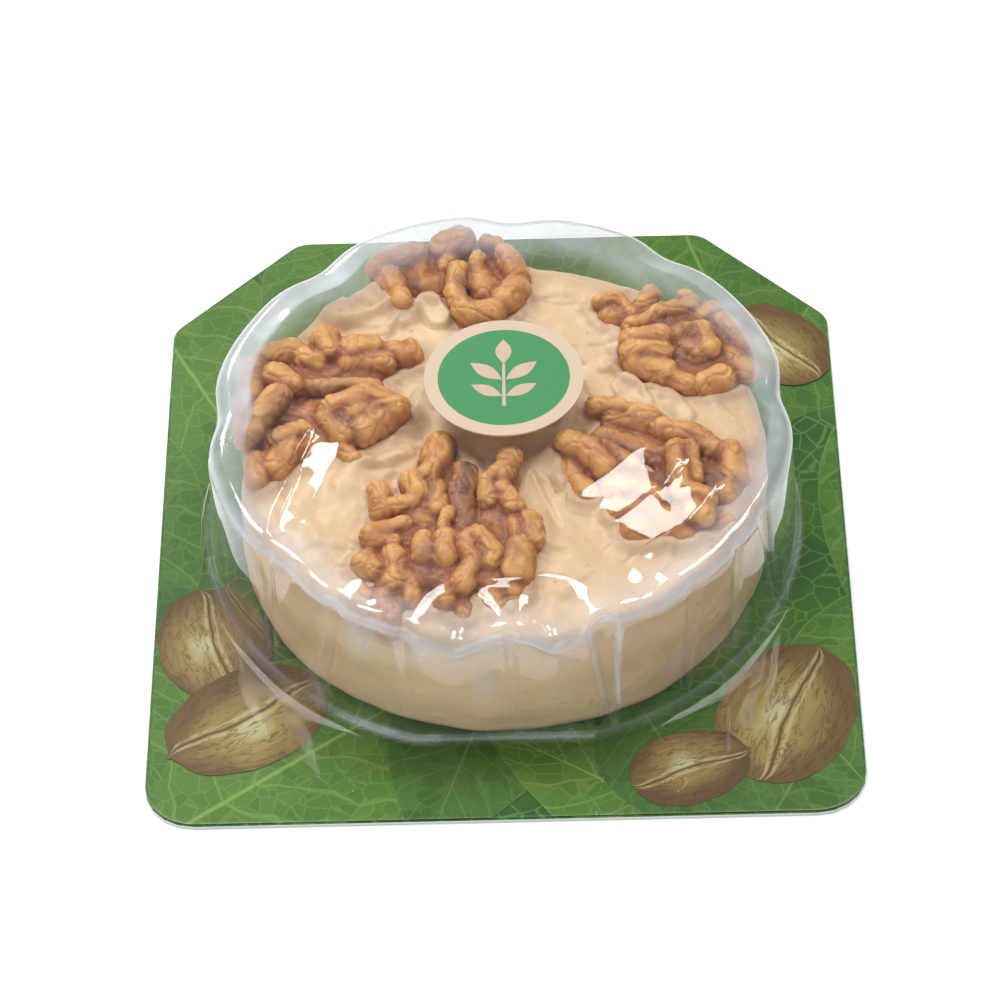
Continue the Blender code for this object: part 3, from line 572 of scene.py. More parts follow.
class WalnutSettings(bpy.types.PropertyGroup):
    voxel: FloatProperty(
        name="Fineness", description="Mesh step of the kernels", default=0.3 * MM,
        min=0.2 * MM, max=1.0 * MM, subtype="DISTANCE", unit="LENGTH", precision=5)
    wrinkle: FloatProperty(
        name="Wrinkle height", description="Height of the small wrinkles",
        default=0.34 * MM, min=0, max=1.0 * MM, subtype="DISTANCE", unit="LENGTH",
        precision=5)
    # The crest colour is the skin lit by painted light on the folds' tops
    crest: FloatVectorProperty(
        name="Crest", description="Colour of the folds' crests",
        default=(0.755, 0.388, 0.118), **COLOUR)
    skin: FloatVectorProperty(
        name="Skin", description="Colour of the skin",
        default=(0.50, 0.195, 0.06), **COLOUR)
    # The valley colour is painted shade deep between the folds
    valley_shade: FloatVectorProperty(
        name="Valley", description="Colour deep between the folds",
        default=(0.26, 0.076, 0.024), **COLOUR)
    # The shade colour is painted shade on the listed shaded spots
    shade: FloatVectorProperty(
        name="Shade", description="Colour of the darker places on the skin",
        default=(0.13, 0.05, 0.04), **COLOUR)


class LabelSettings(bpy.types.PropertyGroup):
    paper: FloatVectorProperty(
        name="Paper", description="Colour of the label's paper",
        default=(0.57, 0.43, 0.312), **COLOUR)
    ink: FloatVectorProperty(
        name="Ink", description="Colour of the printed disc",
        default=(0.035, 0.25, 0.075), **COLOUR)


class StageSettings(bpy.types.PropertyGroup):
    softbox_power: FloatProperty(
        name="Softbox power", description="Power of each overhead softbox", default=5.5,
        min=0, unit="POWER")
    fill: FloatProperty(
        name="Fill", description="Brightness of the surroundings", default=0.28, min=0)
    lens: FloatProperty(
        name="Lens", description="Focal length in millimetres", default=148.02, min=20,
        max=400)
    floor_colour: FloatVectorProperty(
        name="Floor", description="Colour of the floor",
        default=(0.92, 0.92, 0.92), **COLOUR)


# Helpers for meshes

def add_piece(name, mesh, material, slot, *replaced):
    """Show a finished mesh as a piece that rides with the pack."""
    mesh.materials.clear()
    mesh.materials.append(material)
    piece = show(name, mesh)
    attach(piece, "root")
    if replaced:
        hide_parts(*replaced)


def show(name, data):
    """Link a mesh, light or camera to the scene as an object."""
    item = bpy.data.objects.new(name, data)
    bpy.context.scene.collection.objects.link(item)
    return item


def repaint(node, material):
    """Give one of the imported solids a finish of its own."""
    materials = frame["nodes"][node].data.materials
    materials.clear()
    materials.append(material)


def mesh_from(bm, name, smooth=True):
    mesh = bpy.data.meshes.new(name)
    bm.to_mesh(mesh)
    bm.free()
    if smooth:
        mesh.shade_smooth()
    return mesh


def join_loops(bm, loops, middle):
    """Faces between neighbouring closed loops, and a fan from the last to a middle."""
    for lower, upper in zip(loops, loops[1:]):
        for i, vert in enumerate(lower):
            j = (i + 1) % len(lower)
            bm.faces.new((vert, lower[j], upper[j], upper[i]))
    for i, vert in enumerate(loops[-1]):
        bm.faces.new((vert, loops[-1][(i + 1) % len(loops[-1])], middle))


def bell(x, width, steepness=2):
    return math.exp(-(abs(x / width) ** steepness))


def angle_between(a, b):
    return abs((a - b + math.pi) % (2 * math.pi) - math.pi)


def smooth_step(x):
    x = max(0.0, min(1.0, x))
    return x * x * (3 - 2 * x)


def heading(degrees):
    """Unit vector in a direction, counted from +X towards +Y."""
    turn = math.radians(degrees)
    return Vector((math.cos(turn), math.sin(turn)))


def off_segment(point, x0, y0, x1, y1):
    """Distance of a point from the straight line between two others."""
    start = Vector((x0, y0))
    along = Vector((x1, y1)) - start
    share = max(0.0, min(1.0, (point - start).dot(along) / along.length_squared))
    return (point - start - along * share).length


def rounded_outline(corners):
    """Points round a convex outline; each corner is (point, fillet radius)."""
    points = []
    count = len(corners)
    for i, (corner, radius) in enumerate(corners):
        before = (corners[i - 1][0] - corner).normalized()
        after = (corners[(i + 1) % count][0] - corner).normalized()
        half = before.angle(after) / 2
        middle = corner + (before + after).normalized() * radius / math.sin(half)
        first = corner + before * radius / math.tan(half) - middle
        last = corner + after * radius / math.tan(half) - middle
        turn = first.angle_signed(last)
        for step in range(CORNER_STEPS + 1):
            share = step / CORNER_STEPS
            points.append(middle + Matrix.Rotation(-turn * share, 2) @ first)
    return points


def card_outline(margin=0.0):
    x, y = CARD_WIDTH / 2 - margin, CARD_DEPTH / 2 - margin
    cut = REAR_CUT - margin * (2 - math.sqrt(2))
    front = FRONT_CORNER_RADIUS - margin
    rear = REAR_CORNER_RADIUS - margin
    return rounded_outline([
        (Vector((x, -y)), front),
        (Vector((x, y - cut)), rear),
        (Vector((x - cut, y)), rear),
        (Vector((cut - x, y)), rear),
        (Vector((-x, y - cut)), rear),
        (Vector((-x, -y)), front),
    ])


# Helpers for node trees

class Value:
    """The value at an output; arithmetic on it adds math nodes to its tree."""

    def __init__(self, socket):
        self.socket = socket
        self.tree = socket.id_data

    def __getitem__(self, output):
        """Another output of the same node."""
        return Value(self.socket.node.outputs[output])

    def maths(self, operation, other=0.0, clamp=False):
        return put(self.tree, "ShaderNodeMath", {0: self, 1: other},
                   operation=operation, use_clamp=clamp)

    def vector(self, operation, other=None, output=0):
        inputs = {0: self}
        if other is not None:
            inputs["Scale" if operation == "SCALE" else 1] = other
        return put(self.tree, "ShaderNodeVectorMath", inputs, output,
                   operation=operation)

    def __add__(self, other):
        return self.maths("ADD", other)

    def __sub__(self, other):
        return self.maths("SUBTRACT", other)

    def __mul__(self, other):
        return self.maths("MULTIPLY", other)

    def __abs__(self):
        return self.maths("ABSOLUTE")


def feed(socket, value):
    """Link a value to an input, or set the input to a number or colour."""
    if isinstance(value, Value):
        socket.id_data.links.new(value.socket, socket)
    elif socket.type == "RGBA":
        socket.default_value = (*value, 1.0)
    else:
        socket.default_value = value


def put(tree, kind, inputs=None, output=0, **settings):
    """Add a node, set its properties, feed its inputs and give one of its outputs."""
    item = tree.nodes.new(kind)
    for key, value in settings.items():
        setattr(item, key, value)
    for key, value in (inputs or {}).items():
        feed(item.inputs[key], value)
    return Value(item.outputs[output]) if item.outputs else None


def largest(first, *others):
    for other in others:
        first = first.maths("MAXIMUM", other)
    return first


def mix(share, first, second):
    """First colour where share is 0, second where it is 1."""
    item = share.tree.nodes.new("ShaderNodeMix")
    item.data_type = "RGBA"
    for key, value in ((0, share), (6, first), (7, second)):
        feed(item.inputs[key], value)
    return Value(item.outputs[2])


def overlay(colour, *layers):
    """Lay further colours over one; each layer is (share, colour)."""
    for share, layer in layers:
        colour = mix(share, colour, layer)
    return colour


def tint(colour, factor):
    return [part * factor for part in colour]


def ramp(value, low, high):
    """0 at low, 1 at high, smooth between them and level outside."""
    return put(value.tree, "ShaderNodeMapRange", {
        "Value": value, "From Min": low, "From Max": high, "To Min": 0.0,
        "To Max": 1.0}, "Result", interpolation_type="SMOOTHSTEP")


def speckle(place, scale, detail=2.0, roughness=0.5, distortion=0.0):
    return put(place.tree, "ShaderNodeTexNoise", {
        "Vector": place, "Scale": scale, "Detail": detail, "Roughness": roughness,
        "Distortion": distortion}, "Fac")


def parts_of(vector):
    return put(vector.tree, "ShaderNodeSeparateXYZ", {0: vector})


def attribute(tree, name):
    return put(tree, "ShaderNodeAttribute", None, "Fac", attribute_name=name)


def bump(height, strength, distance, normal=None):
    inputs = {"Height": height, "Strength": strength, "Distance": distance}
    if normal is not None:
        inputs["Normal"] = normal
    return put(height.tree, "ShaderNodeBump", inputs, "Normal")


def new_material(name):
    """A material, its tree and the place of a point on the object."""
    material = bpy.data.materials.new(name)
    material.use_nodes = True
    tree = material.node_tree
    return material, tree, put(tree, "ShaderNodeTexCoord", None, "Object")


def dress(tree, **inputs):
    """Feed inputs of the material's Principled shader."""
    for key, value in inputs.items():
        feed(tree.nodes["Principled BSDF"].inputs[key.replace("_", " ")], value)


def new_group(name, kind, inputs, outputs):
    """A node group with named inputs and outputs, and the values of its inputs."""
    tree = bpy.data.node_groups.new(name, kind)
    for way, sockets in (("INPUT", inputs), ("OUTPUT", outputs)):
        for label, holds, *default in sockets:
            item = tree.interface.new_socket(
                label, in_out=way, socket_type="NodeSocket" + holds)
            if default:
                item.default_value = default[0]
    return tree, put(tree, "NodeGroupInput")


def close_group(tree, geometry, material):
    """End a Geometry Nodes tree: real geometry in its material."""
    real = put(tree, "GeometryNodeRealizeInstances", {"Geometry": geometry})
    dressed = put(tree, "GeometryNodeSetMaterial", {
        "Geometry": real, "Material": material})
    put(tree, "NodeGroupOutput", {"Geometry": dressed})
    return tree


def run_nodes(item, tree, values):
    """Run a Geometry Nodes tree on an object and give back the plain mesh."""
    modifier = item.modifiers.new(tree.name, "NODES")
    modifier.node_group = tree
    names = {s.name: s.identifier for s in tree.interface.items_tree
             if s.item_type == "SOCKET" and s.in_out == "INPUT"}
    for key, value in values.items():
        modifier[names[key]] = value
    graph = bpy.context.evaluated_depsgraph_get()
    mesh = bpy.data.meshes.new_from_object(item.evaluated_get(graph))
    bpy.data.objects.remove(item, do_unlink=True)
    return mesh


def net_group():
    """Node group: a fine net of thin lines, used for the printed veins."""
    name = "Fine net"
    if name in bpy.data.node_groups:
        return bpy.data.node_groups[name]
    tree, given = new_group(name, "ShaderNodeTree", (
        ("Vector", "Vector"), ("Cells", "Float", 500.0), ("Line", "Float", 0.06)),
        (("Line", "Float"), ("Cell", "Float")))
    shift = speckle(given["Vector"], 420.0)["Color"].vector("SUBTRACT", MID_GREY)
    moved = given["Vector"].vector("ADD", shift.vector("SCALE", NET_WARP))
    cells = {"Vector": moved, "Scale": given["Cells"]}
    edge = put(tree, "ShaderNodeTexVoronoi", cells, "Distance",
               feature="DISTANCE_TO_EDGE")
    cell = put(tree, "ShaderNodeTexVoronoi", cells, "Color", feature="F1")
    line = put(tree, "ShaderNodeMapRange", {
        "Value": edge, "From Min": 0.0, "From Max": given["Line"], "To Min": 1.0,
        "To Max": 0.0})
    grey = put(tree, "ShaderNodeSeparateColor", {0: cell})
    put(tree, "NodeGroupOutput", {"Line": line, "Cell": grey})
    return tree


def fine_net(place, cells, line):
    """The lines of a fine net; its output Cell is a random shade in every cell."""
    return put(place.tree, "ShaderNodeGroup", {
        "Vector": place, "Cells": cells, "Line": line}, "Line", node_tree=net_group())


# Printed card

def laminate(tree, place, colour, settings):
    grain = bump(speckle(place, 900.0), 0.05, 0.0002)
    dress(tree, Base_Color=colour, Roughness=settings.roughness,
          Specular_IOR_Level=LAMINATE_SPECULAR, Normal=grain)


def card_material(settings):
    """Printed green under gloss laminate; the cut edge is pale."""
    material, tree, place = new_material("Printed card")
    cloud = ramp(speckle(place, 38.0, 3.0), 0.35, 0.7)
    side = parts_of(place)["Z"].maths("LESS_THAN", CARD_TOP - CUT_EDGE_DEPTH)
    green = mix(cloud, settings.dark_green, settings.light_green)
    laminate(tree, place, overlay(
        green, (fine_net(place, 260.0, 0.05) * 0.35, settings.vein),
        (side, CUT_EDGE_COLOUR)), settings)
    return material


def leaf_material(settings):
    """A printed leaf: midrib and side veins follow its own UV map."""
    material, tree, place = new_material("Printed leaf")
    tone = attribute(tree, "tone")
    parts = parts_of(put(tree, "ShaderNodeUVMap", uv_map="Leaf"))
    side = abs(parts["Y"] - 0.5)
    reach = parts["X"] - side * 0.42 + speckle(place, 120.0) * 0.10
    off_rib = abs((reach * 9.0).maths("FRACT") - 0.5)
    net = fine_net(place, 330.0, 0.055)
    veins = largest(
        ramp(off_rib, 0.06, 0.025) * 0.55,
        ramp(side, 0.012, 0.004),
        ramp(side, 0.482, 0.496) * 0.5,
        net * 0.42 + fine_net(place, 900.0, 0.10) * 0.12)
    veins = veins.maths("MULTIPLY", tone * 0.75 + 0.12, clamp=True)

    patch = ramp(speckle(place, 55.0, 3.0), 0.3, 0.75)
    shade = (patch * 0.28 + tone).maths("SUBTRACT", 0.12, clamp=True)
    green = mix(shade, settings.dark_green, settings.light_green)
    laminate(tree, place, overlay(
        green, (net["Cell"] * 0.12, settings.vein), (veins * 0.8, settings.vein)),
        settings)
    return material


def nut_print_material(settings):
    """A printed nut in its shell: a seam along it and wandering grooves."""
    material, tree, place = new_material("Printed nut")
    tone = attribute(tree, "tone")
    uv = put(tree, "ShaderNodeUVMap", uv_map="Leaf")
    parts = parts_of(uv)
    away = uv.vector("SUBTRACT", NUT_LIT_PLACE).vector("LENGTH", output="Value")
    spread = speckle(place, 190.0, 3.0, 0.6) * 0.30 + away

    bow = (parts["X"] * math.pi).maths("SINE") * 0.13
    seam = abs(parts["Y"] - bow - speckle(place, 230.0) * 0.05 - 0.34)
    lip = ramp(abs(seam - 0.045), 0.03, 0.008)
    drawn = uv.vector("MULTIPLY", NUT_GROOVE_STRETCH).vector("ADD", place)
    ridge = ramp(abs(speckle(drawn, 1.5, 3.0, 0.55, 1.3) - 0.5), 0.05, 0.0)
    groove = largest(ridge * 0.75, ramp(seam, 0.018, 0.006))

    light, dark = (mix(tone, *shades) for shades in (NUT_LIGHTS, NUT_DARKS))
    colour = overlay(
        mix(ramp(spread, 0.72, 0.24), dark, light), (lip * 0.5, NUT_LIP),
        (ramp(spread, 0.32, 0.16) * 0.6, NUT_GLINT), (groove * 0.8, NUT_GROOVE))
    dress(tree, Base_Color=colour, Roughness=settings.roughness,
          Specular_IOR_Level=LAMINATE_SPECULAR)
    return material


def print_shape(name, half_width, steps):
    """A flat print shape of length and width 1 with the UV map called Leaf.

    half_width gives the half-width at a share of the length.
    """
    bm = bmesh.new()
    uv = bm.loops.layers.uv.new("Leaf")
    across = (-1.0, -0.6, -0.2, 0.2, 0.6, 1.0)
    shares = [i / steps for i in range(steps + 1)]
    rows = [[bm.verts.new((share, half_width(share) * side, 0.0)) for side in across]
            for share in shares]
    places = {vert: (share, 0.5 + side / 2) for share, row in zip(shares, rows)
              for side, vert in zip(across, row)}
    for low, high in zip(rows, rows[1:]):
        for j in range(len(across) - 1):
            face = bm.faces.new((low[j], high[j], high[j + 1], low[j + 1]))
            for loop in face.loops:
                loop[uv].uv = places[loop.vert]
    return show(name, mesh_from(bm, name, smooth=False))


def leaf_half_width(share):
    teeth = 0.012 * abs((share * 16) % 1 - 0.5)
    return 0.5 * math.sin(math.pi * share ** 0.8) ** 0.75 * (1 - 0.25 * share) + teeth


def nut_half_width(share):
    """An oval with a small tip at its far end."""
    oval = math.sqrt(max(0.0, share - share * share))
    knobs = 0.012 * math.sin(share * 23.0)
    return oval * (1.0 - 0.16 * share) * (1.0 + knobs) * (1.0 - bell(share - 1.0, 0.05))


def scatter_tree():
    """Geometry Nodes: place one flat print shape at every point."""
    name = "Print scatter"
    if name in bpy.data.node_groups:
        return bpy.data.node_groups[name]
    tree, given = new_group(name, "GeometryNodeTree", (
        ("Geometry", "Geometry"), ("Shape", "Object"), ("Material", "Material")),
        (("Geometry", "Geometry"),))
    turn, size = (put(tree, "GeometryNodeInputNamedAttribute", {"Name": key},
                      "Attribute", data_type="FLOAT_VECTOR")
                  for key in ("turn", "size"))
    shape = put(tree, "GeometryNodeObjectInfo", {"Object": given["Shape"]}, "Geometry")
    placed = put(tree, "GeometryNodeInstanceOnPoints", {
        "Points": given["Geometry"], "Instance": shape, "Rotation": turn,
        "Scale": size})
    return close_group(tree, placed, given["Material"])


def scatter_prints(name, rows, shape, material, height, centred):
    """Add many flat print shapes as one piece, cut off at the card's outline."""
    bm = bmesh.new()
    turn = bm.verts.layers.float_vector.new("turn")
    size = bm.verts.layers.float_vector.new("size")
    tone = bm.verts.layers.float.new("tone")
    for i, (x, y, direction, length, width, shade) in enumerate(rows):
        place = Vector((x, y))
        if centred:
            place -= heading(direction) * length / 2
        vert = bm.verts.new((*(place * MM), height + i * PRINT_LAYER))
        vert[turn] = (0.0, 0.0, math.radians(direction))
        vert[size] = (length * MM, width * MM, 1.0)
        vert[tone] = shade
    points = show(name + "_points", mesh_from(bm, name, smooth=False))
    mesh = run_nodes(points, scatter_tree(), {"Shape": shape, "Material": material})
    bpy.data.objects.remove(shape, do_unlink=True)

    bm = bmesh.new()
    bm.from_mesh(mesh)
    outline = card_outline(PRINT_MARGIN)
    for i, point in enumerate(outline):
        along = point - outline[i - 1]
        if along.length < 1e-6:
            continue
        bmesh.ops.bisect_plane(
            bm, geom=bm.verts[:] + bm.edges[:] + bm.faces[:], clear_outer=True,
            plane_co=(*point, 0.0), plane_no=(along.y, -along.x, 0.0))
    for face in bm.faces:
        if face.normal.z < 0:
            face.normal_flip()
    bm.to_mesh(mesh)
    bm.free()
    add_piece(name, mesh, material, "card_print")


class CARD_OT_dress(bpy.types.Operator):
    """Finish the printed card and add its printed leaves and nuts"""
    bl_idname = "cheese_pack.card"
    bl_label = "Printed card"

    def execute(self, context):
        settings = context.scene.pack_card
        repaint("base_card", card_material(settings))
        level = CARD_TOP + PRINT_LAYER
        leaf = print_shape("leaf_shape", leaf_half_width, 24)
        scatter_prints("printed_leaves", PRINTED_LEAVES, leaf, leaf_material(settings),
                       level, False)
        level += PRINT_LAYER * len(PRINTED_LEAVES)
        nut = print_shape("nut_shape", nut_half_width, 48)
        scatter_prints("printed_nuts", PRINTED_NUTS, nut, nut_print_material(settings),
                       level, True)
        return {"FINISHED"}


# Clear film

def notch_share(angle):
    return sum(bell(angle_between(angle, a), NOTCH_WIDTH) for a in NOTCH_ANGLES)


def crush_share(angle):
    return bell(angle_between(angle, CRUSH_ANGLE), CRUSH_WIDTH)


def sag_depth(angle):
    """How far the rim hangs down where its front is crushed, in metres."""
    total = 0.0
    for at, wide, depth in RIM_SAGS:
        off = angle_between(angle, math.radians(at))
        total += depth * MM * bell(off, math.radians(wide))
    return total


def crease_share(angle, share):
    """(depth, edge) of the wall creases; share runs from the foot to the rim."""
    depth = edge = 0.0
    for at_rim, at_foot, wide_rim, wide_foot, deep in WALL_CREASES:
        middle = math.radians(at_foot + (at_rim - at_foot) * share)
        half = math.radians(wide_foot + (wide_rim - wide_foot) * share)
        off = angle_between(angle, middle) / half
        fade = smooth_step(share / 0.12)
        depth += deep * MM * smooth_step(1.15 - off) * fade
        edge = max(edge, bell(off - 0.85, 0.16) * fade * min(1.0, deep * deep))
    return depth, edge


def foot_line(angle):
    """Milky share of the dome's foot, strong on some stretches and faint on others."""
    return 0.18 + 0.5 * smooth_step(noise.noise(Vector((angle * 2.2, 5.0, 0.0))) * 3.0)


def rim_band(angle, inset):
    """Milky share of the stressed band inside the rim; inset is the way in from it."""
    band = 0.0
    for direction, spread, width, haze in RIM_BANDS:
        off = angle_between(angle, math.radians(direction)) / math.radians(spread)
        wide = width + 0.5 * noise.noise(Vector((angle * 6.0, direction, 0.0)))
        reach = smooth_step((wide * MM - inset) / (0.7 * MM))
        band = max(band, haze * reach * bell(off, 1.0, 4))
    return band


def foot_radius(angle):
    front = -math.sin(angle)
    if front <= 0:
        return FOOT_RADIUS
    return min(FOOT_RADIUS, FOOT_FRONT / front)


def rim_radius(angle):
    rim = min(RIM_RADIUS, foot_radius(angle) - RIM_SETBACK)
    return rim - CRUSH_PULL * crush_share(angle) - NOTCH_DEPTH * notch_share(angle)


def facet_drop(off, facet, count):
    """Depth of a row of slanting facets with short steps back up between them."""
    off += noise.noise(Vector((off, facet, 1.0)) * 0.4) * 0.5
    if off <= 0 or off >= facet * count:
        return 0.0
    place = off % facet
    turn = facet - FACET_RETURN
    return min(place, turn * (facet - place) / FACET_RETURN)


def panel_drop(x, y):
    """Fall of the dome's top at its panels and folds, in metres."""
    total = 0.0
    for at_x, at_y, direction, slope, facet, count, half in CROWN_PANELS:
        down = heading(direction)
        off = Vector((x / MM - at_x, y / MM - at_y))
        sway = noise.noise(Vector((x, y, 9 * MM)) / (8 * MM))
        fall = facet_drop(off.dot(down) + sway, facet, count)
        total += slope * fall * MM * bell(off.cross(down), half, 4)
    for at_x, at_y, direction, drop, width, half in CROWN_FOLDS:
        down = heading(direction)
        off = Vector((x / MM - at_x, y / MM - at_y))
        step = 0.5 + 0.5 * math.tanh(off.dot(down) / (2 * width))
        total += drop * step * MM * bell(off.cross(down), half, 3)
    return total


def plain_crown(angle, share):
    """Height of the dome's top without the small folds."""
    drop = CRUSH_DROP * crush_share(angle) + NOTCH_DIP * notch_share(angle)
    return DOME_TOP - drop * smooth_step(share)


def crown_height(angle, share, radius):
    """Height of the dome's top; share runs from its middle to the shoulder."""
    x = DOME_CENTRE.x + radius * math.cos(angle)
    y = DOME_CENTRE.y + radius * math.sin(angle)
    height = plain_crown(angle, share)
    height -= sag_depth(angle) * smooth_step((share - 0.80) / 0.2)
    ripple = noise.noise(Vector((x, y, 0.0)) / (9.0 * MM)) * 0.16 * MM
    ripple += noise.noise(Vector((x, y, 5.0)) / (3.2 * MM)) * 0.05 * MM
    return height - panel_drop(x, y) + ripple * smooth_step((share - 0.3) / 0.3)


def room_above(x, y):
    """Height up to which a piece may rise below the dome's top."""
    out = Vector((x, y)) - DOME_CENTRE
    angle = math.atan2(out.y, out.x)
    share = min(1.0, out.length / (rim_radius(angle) - RIM_ROUND))
    return plain_crown(angle, share) - FILM_THICKNESS - CLEARANCE


def card_reach(angle, outline):
    """Distance from the dome's centre to the card's edge in this direction."""
    out = Vector((math.cos(angle), math.sin(angle)))
    reach = 1.0
    for i, point in enumerate(outline):
        along = point - outline[i - 1]
        across = Vector((along.y, -along.x))
        rate = across.dot(out)
        if rate > 1e-9:
            reach = min(reach, across.dot(point - DOME_CENTRE) / rate)
    return reach


def back_share(angle):
    return smooth_step(math.sin(angle) * 2 - 0.6)


def wall_point(angle, share):
    """(radius, height, haze) of the dome's wall; share runs from foot to rim."""
    foot, rim = foot_radius(angle), rim_radius(angle)
    depth, edge = crease_share(angle, share)
    notch = NOTCH_DEPTH * notch_share(angle)
    radius = foot + (rim + notch - foot) * share - depth
    radius -= notch * math.sin(share * math.pi / 2) ** 2
    x, y = radius * math.cos(angle), radius * math.sin(angle)
    bulge = noise.noise(Vector((x, y, share * 14 * MM)) / (8 * MM))
    radius += bulge * 0.45 * MM * share

    low = FLANGE_TOP + FOOT_ROUND
    high = crown_height(angle, 1.0, rim - RIM_ROUND) - RIM_ROUND
    front = crush_share(angle)
    haze = 0.08 + 0.9 * edge + 0.45 * front * smooth_step((share - 0.62) / 0.38)
    haze += 0.12 * back_share(angle)
    haze += foot_line(angle) * smooth_step((0.05 - share) / 0.05)
    blotch = noise.noise(Vector((angle * 7.0, share * 1.6, 2.0)))
    haze += 0.5 * smooth_step(blotch * 2.5 - 0.2) * (0.3 + 0.7 * front)
    return radius, low + share * (high - low), haze


def shoulder_point(angle, share):
    """(radius, height, haze) of the rounded rim; share runs from wall to top."""
    rim = rim_radius(angle)
    turn = share * math.pi / 2
    depth, edge = crease_share(angle, 1.0)
    fade = math.cos(turn) ** 2
    radius = rim - RIM_ROUND * (1 - math.cos(turn)) - depth * fade
    height = crown_height(angle, 1.0, rim - RIM_ROUND)
    height -= RIM_ROUND * (1 - math.sin(turn))
    haze = 0.45 + 0.3 * edge * fade + 0.6 * bell(share - 0.25, 0.3)
    return radius, height, max(haze - 0.2 * back_share(angle), rim_band(angle, 0.0))


def crown_point(angle, share):
    """(radius, height, haze) of the dome's top; share runs from middle to rim."""
    shoulder = rim_radius(angle) - RIM_ROUND
    radius = shoulder * share
    back = back_share(angle)
    near = smooth_step((share - 0.84 + 0.10 * back) / 0.16) ** 1.5
    haze = 0.01 + 0.48 * near - 0.06 * back * near
    haze = max(haze, rim_band(angle, shoulder - radius))
    return radius, crown_height(angle, share, radius), haze


def film_rings():
    """Rings from the card's edge to the dome's middle: (part, share, gloss)."""
    rings = [("flange", share) for share in FLANGE_EDGE_SHARES]
    rings += [("flange", 0.95 * (1 - i / FLANGE_STEPS))
              for i in range(FLANGE_STEPS + 1)]
    rings += [("wall", i / WALL_STEPS) for i in range(WALL_STEPS + 1)]
    rings += [("shoulder", i / SHOULDER_STEPS) for i in range(1, SHOULDER_STEPS)]
    rings += [("crown", 1 - i / CROWN_STEPS) for i in range(CROWN_STEPS)]
    return [(part, share, FILM_GLOSS[part]) for part, share in rings]


def film_mesh(segments):
    bm = bmesh.new()
    haze_layer = bm.verts.layers.float.new("haze")
    gloss_layer = bm.verts.layers.float.new("gloss")
    outline = card_outline()
    angles = [2 * math.pi * i / segments for i in range(segments)]
    reaches = {angle: card_reach(angle, outline) for angle in angles}

    def flange_point(angle, share):
        start = foot_radius(angle) + FOOT_ROUND
        haze = 0.02 + 0.5 * smooth_step((share - 0.99) / 0.01)
        return start + (reaches[angle] - start) * share, FLANGE_TOP, haze

    points = {"flange": flange_point, "wall": wall_point, "shoulder": shoulder_point,
              "crown": crown_point}
    loops = []
    for part, share, gloss in film_rings():
        loop = []
        for angle in angles:
            radius, height, haze = points[part](angle, share)
            place = Vector((DOME_CENTRE.x + radius * math.cos(angle),
                            DOME_CENTRE.y + radius * math.sin(angle), height))
            if part != "flange":
                place.z += FILM_RIPPLE * noise.noise(place / FILM_RIPPLE_LENGTH)
            vert = bm.verts.new(place)
            vert[haze_layer] = haze
            vert[gloss_layer] = gloss
            loop.append(vert)
        loops.append(loop)
    middle = bm.verts.new((*DOME_CENTRE, DOME_TOP))
    middle[gloss_layer] = FILM_GLOSS["crown"]
    join_loops(bm, loops, middle)
    return mesh_from(bm, "clear_dome")


def film_material(settings):
    """Clear film: see-through, glossy at a glance, milky where it is stressed."""
    material, tree, place = new_material("Clear film")
    streak = ramp(speckle(place, 160.0, 1.0, 0.6), 0.35, 0.75)
    milky = (attribute(tree, "haze") * (streak * 0.4 + 0.8)).maths(
        "MULTIPLY", 0.62 * settings.haze, clamp=True)
    dress(tree, Base_Color=settings.milk, Roughness=0.22, IOR=1.45)
    clear = put(tree, "ShaderNodeBsdfTransparent", {"Color": FILM_TINT})
    gloss = put(tree, "ShaderNodeBsdfGlossy", {
        "Color": (1.0, 1.0, 1.0), "Roughness": 0.035})
    behind = put(tree, "ShaderNodeNewGeometry", None, "Backfacing")
    index = behind * (1 / FILM_INDEX - FILM_INDEX) + FILM_INDEX
    strength = attribute(tree, "gloss") * settings.reflection
    glance = put(tree, "ShaderNodeFresnel", {"IOR": index})
    glance = glance.maths("MULTIPLY", strength, clamp=True)
    sheet = put(tree, "ShaderNodeMixShader", {0: glance, 1: clear, 2: gloss})
    milk = Value(tree.nodes["Principled BSDF"].outputs[0])
    whole = put(tree, "ShaderNodeMixShader", {0: milky, 1: sheet, 2: milk})
    feed(tree.nodes["Material Output"].inputs["Surface"], whole)
    return material


class FILM_OT_form(bpy.types.Operator):
    """Form the clear film with its lobes, folds and crushed front"""
    bl_idname = "cheese_pack.film"
    bl_label = "Clear film"

    def execute(self, context):
        settings = context.scene.pack_film
        add_piece("clear_dome", film_mesh(settings.segments), film_material(settings),
                  "clear_film", "clear_film")
        return {"FINISHED"}


# Walnut halves

def fold_end(x, y, radius, crest):
    """Centre of a fold's end, slid back along the line of sight to its own height."""
    real_y = y + (SIGHT_LEVEL - crest + radius) * SIGHT_SLOPE
    top = min(crest, room_above(x * MM, real_y * MM) / MM)
    return Vector((x, real_y, top - radius))


def root_end(centre, radius):
    """The same end of a fold down at its root, a little nearer the cheese's middle."""
    inward = CHEESE_CENTRE / MM - centre.to_2d()
    shift = inward.normalized() * ROOT_SHIFT
    return centre + Vector((shift.x, shift.y, -1.2 * radius))


